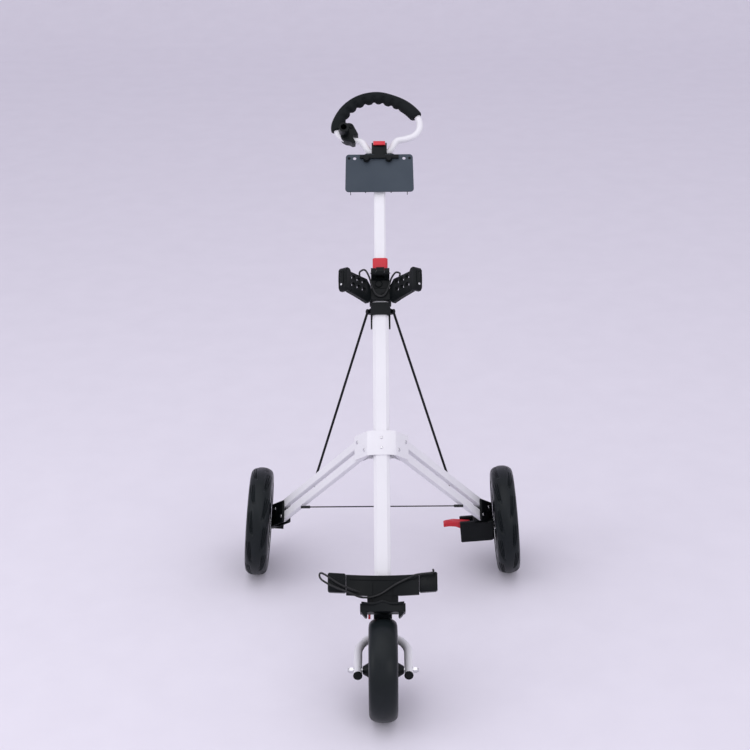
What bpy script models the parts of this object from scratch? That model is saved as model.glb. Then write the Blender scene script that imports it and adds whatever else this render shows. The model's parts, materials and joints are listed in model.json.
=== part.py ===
"""Three-wheel folding golf push trolley, modelled as separate parts.

Metres, +Z up, front wheel towards -Y. The spine is a leaning main tube: in its own frame
+Z runs up the tube, +X is the world's +X and -Y is the side that carries the bag. Each leg
has a frame turned about the tube, in which the leg lies in the XZ plane.
"""
import math

import bmesh
import bpy
from mathutils import Matrix, Vector

GAP = 0.0003                      # clearance between touching parts
RUN = 0.0005                      # clearance round a sliding part

# Stance
TRACK_HALF = 0.317                # middle plane to rear wheel centre
WHEELBASE = 0.640
CAMBER = math.radians(4.5)
REAR_RADIUS = 0.139
REAR_WIDTH = 0.060
FRONT_RADIUS = 0.116
FRONT_WIDTH = 0.066
FRONT_AXLE_Y = -0.407
TUBE_LEAN = math.radians(50.2)    # main tube above the horizontal

# Main tube and its stations, measured up the tube from its foot
TUBE_HALF = 0.019
TUBE_CHAMFER = 0.0075
TUBE_WALL = 0.0018
TUBE_FOOT = 0.004
TUBE_TOP = 0.744
LEG_STATION = 0.368
COLLAR_TOP = 0.709
ARM_STATION = 0.7355
HINGE_STATION = 0.780
HINGE_CLEAR = 0.017               # fold hinge's axis in front of the main tube
HINGE_FORWARD = TUBE_HALF + HINGE_CLEAR
UPPER_HALF = 0.014
UPPER_CHAMFER = 0.004
UPPER_WALL = 0.0015
UPPER_LENGTH = 0.290

# Legs
BAR_HEIGHT = 0.020
BAR_THICK = 0.014
BAR_WALL = 0.0015
BAR_END = 0.012                   # bar beyond its outer pivots, and the upper bar's inner one
LOWER_EAR_END = 0.0085            # lower bar beyond its inner pivot, beside the tube's corner
LEG_PLANE = TUBE_HALF + 0.0077    # leg's middle plane from the tube's centre line
EAR_PIVOT = Vector((TUBE_HALF + 0.0318, 0.0116))  # outward, and up from LEG_STATION
BAR_SPACING = Vector((0.033, 0.0248))         # lower pivot to upper pivot
WHEEL_FROM_PIVOT = Vector((0.071, -0.021))    # upper outer pivot to wheel centre
WHEEL_STANDOFF = 0.048
PIVOT_RADIUS = 0.004
PLATE = 0.002
STRUT_RADIUS = 0.003
STRUT_SHARE = 0.61                # where the strut meets the upper bar, as a share of it
STRUT_OUT = TUBE_HALF + 0.0150    # strut's top pivot, outward from the tube's centre line
FOLD_ANGLE = math.radians(50.0)

# Front fork
FORK_HALF = 0.0567
FORK_RADIUS = 0.0095
PIVOT_BEHIND = 0.0085             # fork's hinge behind the main tube's back face
PIVOT_BELOW = 0.0018              # and below the tube's foot
FORK_STRAIGHT = 0.066
YOKE_HALF = 0.021
LUG_THICK = 0.006
AXLE_RADIUS = 0.005
REAR_AXLE_RADIUS = 0.006

# Handle
LOOP_RADIUS = 0.008
GRIP_RADIUS = 0.0145
CLAMP_UP = 0.0208                 # loop's straight run above the top of the upper tube
CLAMP_GRIP = 0.0185               # half of the clamp's cap, which holds the straight run
CLAMP_CAP = 0.030                 # half length of the bore through the clamp
TILT_GAP = 0.0012                 # clearance of the turning loop in its bore
PANEL_WIDTH = 0.166
PANEL_HEIGHT = 0.097
PANEL_THICK = 0.004

WHITE = (0.84, 0.84, 0.86)
BLACK = (0.018, 0.020, 0.022)
RED = (0.62, 0.03, 0.05)
SLATE = (0.055, 0.075, 0.095)
CHROME = (0.80, 0.80, 0.82)

FOOT_CLEAR = 0.0384               # front tyre to the main tube's foot
FOOT_RISE = math.radians(41.85)   # direction of the foot from the front axle
FOOT_BACK = (FRONT_RADIUS + FOOT_CLEAR) * math.cos(FOOT_RISE)
FOOT_UP = FRONT_RADIUS + (FRONT_RADIUS + FOOT_CLEAR) * math.sin(FOOT_RISE)


def clear_scene():
    """Remove whatever the file holds."""
    for obj in list(bpy.data.objects):
        bpy.data.objects.remove(obj, do_unlink=True)


def collection(name):
    """A new collection in the scene."""
    group = bpy.data.collections.new(name)
    bpy.context.scene.collection.children.link(group)
    return group


clear_scene()
PARTS = collection("golf_push_trolley")
CUTTERS = collection("cutters")


def material(name, color, roughness, metallic=0.0):
    """A Principled material with one colour."""
    mat = bpy.data.materials.new(name)
    mat.use_nodes = True
    shader = mat.node_tree.nodes["Principled BSDF"]
    shader.inputs["Base Color"].default_value = (*color, 1.0)
    shader.inputs["Roughness"].default_value = roughness
    shader.inputs["Metallic"].default_value = metallic
    return mat


FINISHES = {
    "white": (WHITE, 0.35, 0.0),
    "black": (BLACK, 0.45, 0.0),
    "tyre": ((0.030, 0.034, 0.038), 0.55, 0.0),
    "foam": (BLACK, 0.85, 0.0),
    "red": (RED, 0.35, 0.0),
    "slate": (SLATE, 0.40, 0.0),
    "chrome": (CHROME, 0.15, 1.0),
    "cord": (BLACK, 0.80, 0.0),
}


def frame(name, location, turn, parent=None):
    """An empty that other parts are placed from."""
    empty = bpy.data.objects.new(name, None)
    CUTTERS.objects.link(empty)
    empty.parent = parent
    empty.location = location
    empty.rotation_euler = turn
    return empty


def part(name, mesh, home, finish, pivot=(0, 0, 0)):
    """Place a mesh, drawn in its home frame, with its origin at the pivot."""
    mesh.transform(Matrix.Translation(-Vector(pivot)))
    obj = bpy.data.objects.new(name, mesh)
    PARTS.objects.link(obj)
    obj.parent = home
    obj.location = pivot
    obj.data.materials.append(material(name, *FINISHES[finish]))
    return obj


def shape(name, mesh, home):
    """A wire object that a Boolean reads, drawn in its home frame."""
    obj = bpy.data.objects.new(name, mesh)
    CUTTERS.objects.link(obj)
    obj.parent = home
    obj.hide_render = True
    obj.display_type = "WIRE"
    return obj


def boolean(obj, other, operation):
    """Join another shape to a part, or cut it away."""
    mod = obj.modifiers.new(operation.lower(), "BOOLEAN")
    mod.operation = operation
    mod.object = other
    mod.solver = "EXACT"


def cut(obj, *others):
    """Cut shapes away from a part, in order."""
    for other in others:
        boolean(obj, other, "DIFFERENCE")


def join(obj, *others):
    """Add shapes to a part, in order."""
    for other in others:
        boolean(obj, other, "UNION")


def bevel(obj, width, segments=1, angle=40.0):
    """Break the sharp edges of a part."""
    mod = obj.modifiers.new("bevel", "BEVEL")
    mod.width = width
    mod.segments = segments
    mod.limit_method = "ANGLE"
    mod.angle_limit = math.radians(angle)


def from_bmesh(name, bm):
    """A mesh made from a bmesh, which is freed."""
    mesh = bpy.data.meshes.new(name)
    bm.to_mesh(mesh)
    bm.free()
    return mesh


def block(low, high):
    """A box mesh between two corners."""
    bm = bmesh.new()
    bmesh.ops.create_cube(bm, size=1.0)
    low, high = Vector(low), Vector(high)
    bmesh.ops.scale(bm, vec=high - low, verts=bm.verts)
    bmesh.ops.translate(bm, vec=(low + high) / 2, verts=bm.verts)
    return from_bmesh("block", bm)


def rod(start, end, radius, sides=16, end_radius=None):
    """A cylinder or cone mesh from one point to another."""
    start, end = Vector(start), Vector(end)
    along = end - start
    bm = bmesh.new()
    bmesh.ops.create_cone(
        bm, cap_ends=True, segments=sides, radius1=radius,
        radius2=radius if end_radius is None else end_radius, depth=along.length)
    turn = along.to_track_quat("Z", "Y").to_matrix().to_4x4()
    bm.transform(Matrix.Translation((start + end) / 2) @ turn)
    return from_bmesh("rod", bm)


def prism(outline, low, high, axis="Z"):
    """A flat outline carried along an axis, as a filled 2D curve with an extrude."""
    curve = bpy.data.curves.new("outline", "CURVE")
    curve.dimensions = "2D"
    curve.fill_mode = "BOTH"
    curve.extrude = (high - low) / 2
    spline = curve.splines.new("POLY")
    spline.points.add(len(outline) - 1)
    for point, (a, b) in zip(spline.points, outline):
        point.co = (a, b, 0.0, 1.0)
    spline.use_cyclic_u = True
    mesh = curve_mesh(curve)
    mesh.transform(Matrix.Translation((0, 0, (high + low) / 2)))
    if axis == "Y":
        mesh.transform(Matrix.Rotation(math.radians(90), 4, "X") @ Matrix.Scale(-1, 4, (0, 0, 1)))
        flip(mesh)
    if axis == "X":
        mesh.transform(Matrix(((0, 0, 1, 0), (1, 0, 0, 0), (0, 1, 0, 0), (0, 0, 0, 1))))
    return mesh


def flip(mesh):
    """Turn a mesh's faces over."""
    bm = bmesh.new()
    bm.from_mesh(mesh)
    bmesh.ops.reverse_faces(bm, faces=bm.faces)
    bm.to_mesh(mesh)
    bm.free()


def curve_mesh(curve):
    """A closed mesh of a curve's evaluated shape, with its caps welded."""
    obj = bpy.data.objects.new("guide", curve)
    CUTTERS.objects.link(obj)
    depsgraph = bpy.context.evaluated_depsgraph_get()
    mesh = bpy.data.meshes.new_from_object(obj.evaluated_get(depsgraph))
    bpy.data.objects.remove(obj, do_unlink=True)
    bm = bmesh.new()
    bm.from_mesh(mesh)
    bmesh.ops.remove_doubles(bm, verts=bm.verts, dist=0.00001)
    bm.to_mesh(mesh)
    bm.free()
    return mesh


def pipe(points, radius, roundness=2):
    """A round bar along a list of points."""
    curve = bpy.data.curves.new("pipe", "CURVE")
    curve.dimensions = "3D"
    curve.bevel_depth = radius
    curve.bevel_resolution = roundness
    curve.use_fill_caps = True
    spline = curve.splines.new("POLY")
    spline.points.add(len(points) - 1)
    for point, co in zip(spline.points, points):
        point.co = (*co, 1.0)
    return curve_mesh(curve)


def smooth(points, steps):
    """Points on a smooth curve through a few points, some steps for each stretch."""
    points = [Vector(p) for p in points]
    ends = [2 * points[0] - points[1], *points, 2 * points[-1] - points[-2]]
    route = []
    for before, start, end, after in zip(ends, ends[1:], ends[2:], ends[3:]):
        for i in range(steps):
            t = i / steps
            a = 2 * start
            b = (end - before) * t
            c = (2 * before - 5 * start + 4 * end - after) * t * t
            d = (3 * start - before - 3 * end + after) * t ** 3
            route.append((a + b + c + d) / 2)
    route.append(points[-1])
    return route


def arc(centre, radius, start, end, steps, squash=1.0):
    """Points on part of a circle, angles in degrees."""
    angles = [math.radians(start + (end - start) * i / steps) for i in range(steps + 1)]
    return [(centre[0] + radius * math.cos(a), centre[1] + radius * squash * math.sin(a))
            for a in angles]


def section(half_x, half_y, chamfer):
    """A rectangle with its corners cut off."""
    x, y, c = half_x, half_y, chamfer
    return [(x, -y + c), (x, y - c), (x - c, y), (c - x, y),
            (-x, y - c), (-x, c - y), (c - x, -y), (x - c, -y)]


def hollow(name, outline, low, high, wall, home, finish, pivot=(0, 0, 0), turn=None):
    """A tube of any section, as an open skin with a wall inside it."""
    bm = bmesh.new()
    rings = [[bm.verts.new((x, y, z)) for x, y in outline] for z in (low, high)]
    for i in range(len(outline)):
        j = (i + 1) % len(outline)
        bm.faces.new((rings[0][i], rings[0][j], rings[1][j], rings[1][i]))
    mesh = from_bmesh(name, bm)
    if turn is not None:
        mesh.transform(turn)
    obj = part(name, mesh, home, finish, pivot)
    solid = obj.modifiers.new("wall", "SOLIDIFY")
    solid.thickness = wall
    solid.offset = -1.0
    solid.use_even_offset = True
    return obj


def turned(name, profile, steps, home, finish):
    """A turned part about X from (radius, x) pairs, its outer side first."""
    bm = bmesh.new()
    verts = [bm.verts.new((r, 0.0, x)) for r, x in profile]
    for i, vert in enumerate(verts):
        bm.edges.new((vert, verts[(i + 1) % len(verts)]))
    obj = bpy.data.objects.new(name, from_bmesh(name, bm))
    PARTS.objects.link(obj)
    obj.parent = home
    obj.rotation_euler = (0, math.radians(90), 0)
    obj.data.materials.append(material(name, *FINISHES[finish]))
    mod = obj.modifiers.new("turn", "SCREW")
    mod.steps = steps
    mod.render_steps = steps
    mod.use_merge_vertices = True
    mod.merge_threshold = 0.00001
    mod.use_smooth_shade = True
    return obj


# ---------------------------------------------------------------- frames
TUBE = frame("tube_frame", (0, FRONT_AXLE_Y + FOOT_BACK, FOOT_UP),
             (TUBE_LEAN - math.radians(90), 0, 0))
UP_TUBE = Vector((0, math.cos(TUBE_LEAN), math.sin(TUBE_LEAN)))
OFF_TUBE = Vector((0, -math.sin(TUBE_LEAN), math.cos(TUBE_LEAN)))

REAR_CENTRE_Z = (REAR_RADIUS * math.cos(CAMBER)
                 + (REAR_WIDTH / 2 - 0.012) * math.sin(CAMBER))
wheel_from_foot = Vector((TRACK_HALF, WHEELBASE - FOOT_BACK, REAR_CENTRE_Z - FOOT_UP))
wheel_up = wheel_from_foot.dot(UP_TUBE)
wheel_off = wheel_from_foot.dot(OFF_TUBE)
SPLAY = (math.asin(WHEEL_STANDOFF / math.hypot(TRACK_HALF, wheel_off))
         - math.atan2(wheel_off, TRACK_HALF))
wheel_out = TRACK_HALF * math.cos(SPLAY) - wheel_off * math.sin(SPLAY)

EAR_UPPER = Vector((EAR_PIVOT.x, LEG_STATION + EAR_PIVOT.y))
EAR_LOWER = EAR_UPPER - BAR_SPACING
END_UPPER = Vector((wheel_out, wheel_up)) - WHEEL_FROM_PIVOT
END_LOWER = END_UPPER - BAR_SPACING
LEG_VECTOR = END_UPPER - EAR_UPPER
LEG_DOWN = math.atan2(LEG_VECTOR.y, LEG_VECTOR.x)


def leg_point(side, out_up, plane):
    """A point in a leg's frame from its place out and up, and its plane."""
    return Vector((side * out_up[0], -plane, out_up[1]))


# ---------------------------------------------------------------- main tube and legs' bracket
def main_tube():
    """The leaning square tube with cut corners."""
    hollow("lower_tube", section(TUBE_HALF, TUBE_HALF, TUBE_CHAMFER),
           TUBE_FOOT, TUBE_TOP, TUBE_WALL, TUBE, "white")


BRACKET_HALF = 0.029
FRONT_EAR = LEG_PLANE + BAR_THICK / 2 + 0.0008
REAR_EAR = LEG_PLANE - BAR_THICK / 2 - 0.0008 - PLATE


def strip_between(points, thick):
    """An outline of even thickness to the left of an open line of points."""
    points = [Vector(p) for p in points]
    shifted = []
    for i, point in enumerate(points):
        sides = []
        if i > 0:
            run = (point - points[i - 1]).normalized()
            sides.append(Vector((-run.y, run.x)))
        if i < len(points) - 1:
            run = (points[i + 1] - point).normalized()
            sides.append(Vector((-run.y, run.x)))
        middle = sum(sides, Vector((0, 0))).normalized()
        shifted.append(point + middle * thick / middle.dot(sides[0]))
    return [tuple(p) for p in points] + [tuple(p) for p in reversed(shifted)]


def off_leg(side, out, plane):
    """A leg-frame place as (x, y) in the tube's frame."""
    c, s = math.cos(SPLAY), math.sin(SPLAY)
    return (side * (out * c + plane * s), out * s - plane * c)


def leg_bracket():
    """Folded plates in front of and behind the tube, which hold both legs' inner ends."""
    low, high = LEG_STATION - BRACKET_HALF, LEG_STATION + BRACKET_HALF
    face = -TUBE_HALF - GAP
    bend = TUBE_HALF + 0.001
    right = [(bend, face), off_leg(1, 0.004, FRONT_EAR), off_leg(1, 0.064, FRONT_EAR)]
    left = [(-x, y) for x, y in reversed(right)]
    line = strip_between(right[::-1] + left[::-1], PLATE)
    front = part("leg_bracket_front", prism(line, low, high), TUBE, "white")
    back = TUBE_HALF + GAP
    c, s = math.cos(SPLAY), math.sin(SPLAY)
    start = (back + REAR_EAR * c) / s
    right = [off_leg(1, start, REAR_EAR), off_leg(1, 0.0595, REAR_EAR)]
    left = [(-x, y) for x, y in reversed(right)]
    line = strip_between(left + right, PLATE)
    rear = part("leg_bracket_rear", prism(line, low, high), TUBE, "white")
    return front, rear


main_tube()
bracket_front, bracket_rear = leg_bracket()


def leg(side, word):
    """One folding leg: two bars, their pivots, the strut and the wheel's carrier."""
    home = frame("leg_frame_" + word, (0, 0, 0), (0, 0, side * SPLAY), TUBE)
    run = LEG_VECTOR.length
    bars = (("upper", EAR_UPPER, END_UPPER, BAR_END), ("lower", EAR_LOWER, END_LOWER, LOWER_EAR_END))
    for level, ear, end, inner_end in bars:
        pivot = leg_point(side, ear, LEG_PLANE)
        along = leg_point(side, end, LEG_PLANE) - pivot
        turn = (Matrix.Translation(pivot)
                @ Matrix.Rotation(side * (math.radians(90) - LEG_DOWN), 4, "Y"))
        outline = section(BAR_HEIGHT / 2, BAR_THICK / 2, 0.0012)
        bar = hollow(level + "_arm_" + word, outline, -inner_end, run + BAR_END, BAR_WALL,
                     home, "white", pivot, turn)
        for place in (pivot, pivot + along):
            hole = rod(place - Vector((0, 0.02, 0)), place + Vector((0, 0.02, 0)),
                       PIVOT_RADIUS + GAP)
            cut(bar, shape(level + "_hole", hole, home))
    part("ear_pin_" + word,
         rod(leg_point(side, EAR_UPPER, FRONT_EAR + PLATE + 0.0015),
             leg_point(side, EAR_UPPER, REAR_EAR - 0.0015), PIVOT_RADIUS),
         home, "chrome")
    room = rod(leg_point(side, EAR_UPPER, FRONT_EAR + 0.02),
               leg_point(side, EAR_UPPER, REAR_EAR - 0.02), PIVOT_RADIUS + GAP)
    room = shape("ear_pin_room", room, home)
    cut(bracket_front, room)
    cut(bracket_rear, room)
    low_pin = rod(leg_point(side, EAR_LOWER, FRONT_EAR + PLATE + 0.0015),
                  leg_point(side, EAR_LOWER, LEG_PLANE - BAR_THICK / 2), PIVOT_RADIUS)
    join(bracket_front, shape("ear_rivet", low_pin, home))
    return home


WHEEL_IN = REAR_WIDTH / 2 + 0.001


def wheel_carrier(side, word, home, wheel_home):
    """The black carrier that holds both bars' outer ends and the wheel's axle."""
    low, high = END_LOWER.y - 0.017, END_UPPER.y + 0.015
    inner, outer = END_LOWER.x - 0.012, END_UPPER.x + 0.055
    back, front = REAR_EAR - PLATE, FRONT_EAR + 2 * PLATE
    corners = [leg_point(side, (inner, low), back), leg_point(side, (outer, high), front)]
    lo = [min(a, b) for a, b in zip(*corners)]
    hi = [max(a, b) for a, b in zip(*corners)]
    body = part("wheel_bracket_" + word, block(lo, hi), home, "black",
                leg_point(side, END_UPPER, LEG_PLANE))
    bevel(body, 0.003)
    boss = rod((-side * WHEEL_IN, 0, 0), (-side * (WHEEL_IN + 0.032), 0, 0), 0.017, 20)
    join(body, shape("axle_boss_" + word, boss, wheel_home))
    slot_corners = [leg_point(side, (inner - 0.05, low - 0.05), REAR_EAR + 0.0008 + PLATE - 0.0006),
                    leg_point(side, (END_UPPER.x + BAR_END + 0.004, high + 0.05), FRONT_EAR - 0.0002)]
    lo = [min(a, b) for a, b in zip(*slot_corners)]
    hi = [max(a, b) for a, b in zip(*slot_corners)]
    cut(body, shape("bar_slot_" + word, block(lo, hi), home))
    space = rod((-side * WHEEL_IN, 0, 0), (side * 0.05, 0, 0), REAR_RADIUS + 0.01, 32)
    cut(body, shape("wheel_space_" + word, space, wheel_home))
    bore = rod((-side * 0.1, 0, 0), (side * 0.05, 0, 0), REAR_AXLE_RADIUS + GAP)
    cut(body, shape("axle_bore_" + word, bore, wheel_home))
    for pivot in (END_UPPER, END_LOWER):
        rivet = rod(leg_point(side, pivot, front + 0.0015), leg_point(side, pivot, back),
                    PIVOT_RADIUS)
        join(body, shape("bar_rivet_" + word, rivet, home))
    return body


def tyre_profile(radius, width, seat):
    """Outer side from one wall over the crown to the other, then the seat."""
    half = width / 2
    steps = 8
    points = []
    for i in range(steps + 1):
        a = math.pi * i / steps
        points.append((seat + (radius - seat) * math.sin(a) ** 0.42, half * math.cos(a)))
    points[0] = (seat, half)
    points[-1] = (seat, -half)
    return points


def rim_profile(seat, width, hub, bore, web):
    """Barrel, web and hub, outer side first."""
    half, wall = width / 2, 0.007
    barrel = seat - GAP
    return [(barrel, half), (barrel, -half), (barrel - wall, -half), (barrel - wall, -web),
            (hub, -web), (hub, -half), (bore, -half), (bore, half),
            (hub, half), (hub, web), (barrel - wall, web), (barrel - wall, half)]


REAR_SEAT = REAR_RADIUS - 0.036
FRONT_SEAT = FRONT_RADIUS - 0.034
REAR_HUB_HALF = 0.026
REAR_SIDES = 33
FRONT_SIDES = 30
BRAKE_HOLES = 8
BRAKE_CIRCLE = 0.044
BRAKE_PIN_RADIUS = 0.0035
PEDAL_HALF = 0.0095               # half the brake pedal's width
PEDAL_PIN_RADIUS = 0.0025
WEB_HALF = 0.004


def rear_wheel(side, word):
    """Tyre, rim and axle of one rear wheel."""
    centre = (side * TRACK_HALF, FRONT_AXLE_Y + WHEELBASE, REAR_CENTRE_Z)
    home = frame("wheel_frame_" + word, centre, (0, -side * CAMBER, 0))
    tyre = tyre_profile(REAR_RADIUS, REAR_WIDTH, REAR_SEAT)
    turned("rear_tyre_" + word, tyre, REAR_SIDES, home, "tyre")
    bore = REAR_AXLE_RADIUS + GAP
    profile = rim_profile(REAR_SEAT, 2 * REAR_HUB_HALF, 0.022, bore, WEB_HALF)
    rim = turned("rear_rim_" + word, profile, REAR_SIDES, home, "black")
    spindle = rod((-side * (WHEEL_IN + 0.036), 0, 0), (side * (REAR_HUB_HALF + 0.004), 0, 0),
                  REAR_AXLE_RADIUS)
    axle = part("rear_axle_" + word, spindle, home, "chrome")
    head = rod((side * (REAR_HUB_HALF + GAP), 0, 0), (side * (REAR_HUB_HALF + 0.006), 0, 0),
               0.011, 12)
    join(axle, shape("axle_head_" + word, head, home))
    return home, rim


def brake(home, carrier, rim):
    """Right-hand parking brake: a housing, a red pedal and a pin that enters the rim."""
    for i in range(BRAKE_HOLES):
        a = math.radians(180 + 360 * i / BRAKE_HOLES)
        y, z = BRAKE_CIRCLE * math.cos(a), BRAKE_CIRCLE * math.sin(a)
        hole = rod((-0.02, y, z), (0.02, y, z), BRAKE_PIN_RADIUS + 0.001, 8)
        cut(rim, shape("brake_hole", hole, home))
    inner, outer = -(WHEEL_IN + 0.086), -WHEEL_IN
    front, back = -0.060, -0.0195
    low, high = -0.026, 0.031
    block_low, block_high = (inner, front, low), (outer, back, high)
    housing = part("brake_housing", block(block_low, block_high), home, "black")
    bevel(housing, 0.002)
    grown = [v - RUN for v in block_low], [v + RUN for v in block_high]
    cut(carrier, shape("housing_room", block(*grown), home))
    slot_half = PEDAL_HALF + RUN
    middle = (front + back) / 2
    pedal_x = inner + 0.016
    slot = block((inner - 0.01, middle - slot_half, -0.002),
                 (inner + 0.034, middle + slot_half, 0.05))
    cut(housing, shape("pedal_slot", slot, home))
    ramp_line = [(outer + 0.01, low - 0.01), (outer + 0.01, low + 0.014),
                 (outer - 0.022, low - 0.01)]
    ramp = prism(ramp_line, front - 0.01, back + 0.01, "Y")
    cut(housing, shape("housing_ramp", ramp, home))
    pin_y = -BRAKE_CIRCLE
    pin_room = rod((inner + 0.036, pin_y, 0), (0.0, pin_y, 0), BRAKE_PIN_RADIUS + RUN)
    cut(housing, shape("brake_pin_room", pin_room, home))
    cut(carrier, shape("brake_pin_room_carrier", pin_room.copy(), home))
    part("brake_pin", rod((inner + 0.050, pin_y, 0), (-0.008, pin_y, 0), BRAKE_PIN_RADIUS),
         home, "chrome")
    pivot = Vector((pedal_x, middle, 0.017))
    upper = [(0.010, 0.006), (-0.012, 0.010), (-0.032, 0.013), (-0.052, 0.011), (-0.058, 0.009)]
    lower = [(-0.058, 0.000), (-0.044, 0.001), (-0.028, -0.001), (-0.014, -0.008),
             (0.004, -0.0155), (0.011, -0.012)]
    outline = [(pivot.x + x, pivot.z + z) for x, z in upper + lower]
    treadle = prism(outline, middle - PEDAL_HALF, middle + PEDAL_HALF, "Y")
    pedal = part("brake_pedal", treadle, home, "red", pivot)
    bevel(pedal, 0.0015)
    pin_hole = rod(pivot - Vector((0, 0.03, 0)), pivot + Vector((0, 0.03, 0)),
                   PEDAL_PIN_RADIUS + GAP, 12)
    cut(pedal, shape("pedal_hole", pin_hole, home))
    pivot_pin = rod(pivot - Vector((0, middle - front + 0.0015, 0)),
                    pivot + Vector((0, back - middle, 0)), PEDAL_PIN_RADIUS, 12)
    join(housing, shape("pedal_pin", pivot_pin, home))


CARRIERS = {}
for side, word in ((1, "right"), (-1, "left")):
    leg_home = leg(side, word)
    wheel_home, rear_rim = rear_wheel(side, word)
    carrier = wheel_carrier(side, word, leg_home, wheel_home)
    CARRIERS[word] = (carrier, wheel_home, rear_rim, leg_home)
brake(CARRIERS["right"][1], CARRIERS["right"][0], CARRIERS["right"][2])

CABLE_OUT = 0.318
CABLE_BELOW = 0.0178


def cable(side, word):
    """Half of the brake cable between the legs, with its sleeve beside the lower bar."""
    share = CABLE_OUT / LEG_VECTOR.x
    on_bar = EAR_LOWER + LEG_VECTOR * share
    down = Vector((math.sin(LEG_DOWN), -math.cos(LEG_DOWN))) * CABLE_BELOW
    leg_matrix = TUBE_MATRIX @ Matrix.Rotation(side * SPLAY, 4, "Z")
    anchor = leg_matrix @ leg_point(side, on_bar + down, LEG_PLANE)
    x, y, z = abs(anchor.x), anchor.y, anchor.z
    sleeve, thin = 0.0035, 0.0015
    profile = [(0.0, GAP), (thin, GAP), (thin, x - 0.012),
               (sleeve, x - 0.010), (sleeve, x + 0.012), (0.0, x + 0.012)]
    bm = bmesh.new()
    verts = [bm.verts.new((r, 0.0, -d)) for r, d in profile]
    for a, b in zip(verts, verts[1:]):
        bm.edges.new((a, b))
    obj = part("brake_cable_" + word, from_bmesh("cable", bm), None, "cord")
    obj.location = (0, y, z)
    obj.rotation_euler = (0, -side * math.radians(90), 0)
    mod = obj.modifiers.new("turn", "SCREW")
    mod.steps = 10
    mod.render_steps = 10
    mod.use_merge_vertices = True
    mod.merge_threshold = 0.00001


bpy.context.view_layer.update()
TUBE_MATRIX = TUBE.matrix_world.copy()
for side, word in ((1, "right"), (-1, "left")):
    cable(side, word)

# ---------------------------------------------------------------- struts and sliding collar
COLLAR_HALF = TUBE_HALF + RUN + 0.004
COLLAR_HEIGHT = 0.030
STRUT_STUD = 0.002
STRUT_PLANE = LEG_PLANE - BAR_THICK / 2 - 0.001 - STRUT_RADIUS
STRUT_TOP = Vector((STRUT_OUT, COLLAR_TOP - 0.008))
STRUT_END = EAR_UPPER + LEG_VECTOR * STRUT_SHARE
STRUT_LENGTH = (STRUT_END - STRUT_TOP).length
folded_way = Vector((math.cos(LEG_DOWN - FOLD_ANGLE), math.sin(LEG_DOWN - FOLD_ANGLE)))
folded_end = EAR_UPPER + folded_way * LEG_VECTOR.length * STRUT_SHARE
COLLAR_TRAVEL = (STRUT_TOP.y - folded_end.y
                 - math.sqrt(STRUT_LENGTH ** 2 - (folded_end.x - STRUT_TOP.x) ** 2))


def collar():
    """The sleeve that slides on the main tube and carries both struts."""
    low = COLLAR_TOP - COLLAR_HEIGHT
    sleeve = prism(section(COLLAR_HALF, COLLAR_HALF, TUBE_CHAMFER), low, COLLAR_TOP)
    body = part("strut_collar", sleeve, TUBE, "black", (0, 0, COLLAR_TOP))
    for side in (1, -1):
        prong = block((min(side * TUBE_HALF, side * COLLAR_HALF), -0.007, low - 0.028),
                      (max(side * TUBE_HALF, side * COLLAR_HALF), 0.007, low + 0.01))
        join(body, shape("collar_prong", prong, TUBE))
    for word, side in (("right", 1), ("left", -1)):
        home = CARRIERS[word][3]
        near, far = 0.008, STRUT_TOP.x + 0.0055
        face = -(STRUT_PLANE - STRUT_RADIUS - GAP)
        lug = block((min(side * near, side * far), face, STRUT_TOP.y - 0.006),
                    (max(side * near, side * far), face + 0.007, STRUT_TOP.y + 0.006))
        join(body, shape("strut_lug", lug, home))
        stud = rod(leg_point(side, STRUT_TOP, STRUT_PLANE - STRUT_RADIUS - 0.002),
                   leg_point(side, STRUT_TOP, STRUT_PLANE + STRUT_RADIUS + 0.0005),
                   STRUT_STUD, 10)
        join(body, shape("strut_stud", stud, home))
    room = TUBE_HALF + RUN
    tube_room = prism(section(room, room, TUBE_CHAMFER), low - 0.05, COLLAR_TOP + 0.05)
    cut(body, shape("collar_room", tube_room, TUBE))


def strut(side, word, home):
    """A brace from the collar to the upper bar, flat eyes at both ends."""
    top = leg_point(side, STRUT_TOP, STRUT_PLANE)
    end = leg_point(side, STRUT_END, STRUT_PLANE)
    body = part("strut_" + word, rod(top, end, STRUT_RADIUS, 10), home, "black", top)
    for name, place in (("top_eye", top), ("end_eye", end)):
        eye = rod(place - Vector((0, STRUT_RADIUS, 0)), place + Vector((0, STRUT_RADIUS, 0)),
                  0.0055, 14)
        join(body, shape(name, eye, home))
        hole = rod(place - Vector((0, 0.01, 0)), place + Vector((0, 0.01, 0)),
                   STRUT_STUD + GAP, 10)
        cut(body, shape(name + "_hole", hole, home))


collar()
for side, word in ((1, "right"), (-1, "left")):
    strut(side, word, CARRIERS[word][3])

# ---------------------------------------------------------------- front end
FRONT = frame("front_frame", (0, FRONT_AXLE_Y, FRONT_RADIUS), (0, 0, 0))
FORK_FRONT = -0.018
pivot_from_foot = -OFF_TUBE * (TUBE_HALF + PIVOT_BEHIND) - UP_TUBE * PIVOT_BELOW
PIVOT = Vector((0, FOOT_BACK, FOOT_UP - FRONT_RADIUS)) + pivot_from_foot
BIGHT_Y = PIVOT.y                 # fork's cross tube is straight below its hinge


def fork_route():
    """Two straight arms and a half ellipse behind the tyre."""
    deep = BIGHT_Y - FORK_STRAIGHT
    bend = [(x, y, 0) for x, y in arc((0, FORK_STRAIGHT), FORK_HALF, 180, 0, 12, deep / FORK_HALF)]
    return [(-FORK_HALF, FORK_FRONT, 0), *bend, (FORK_HALF, FORK_FRONT, 0)]


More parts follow.
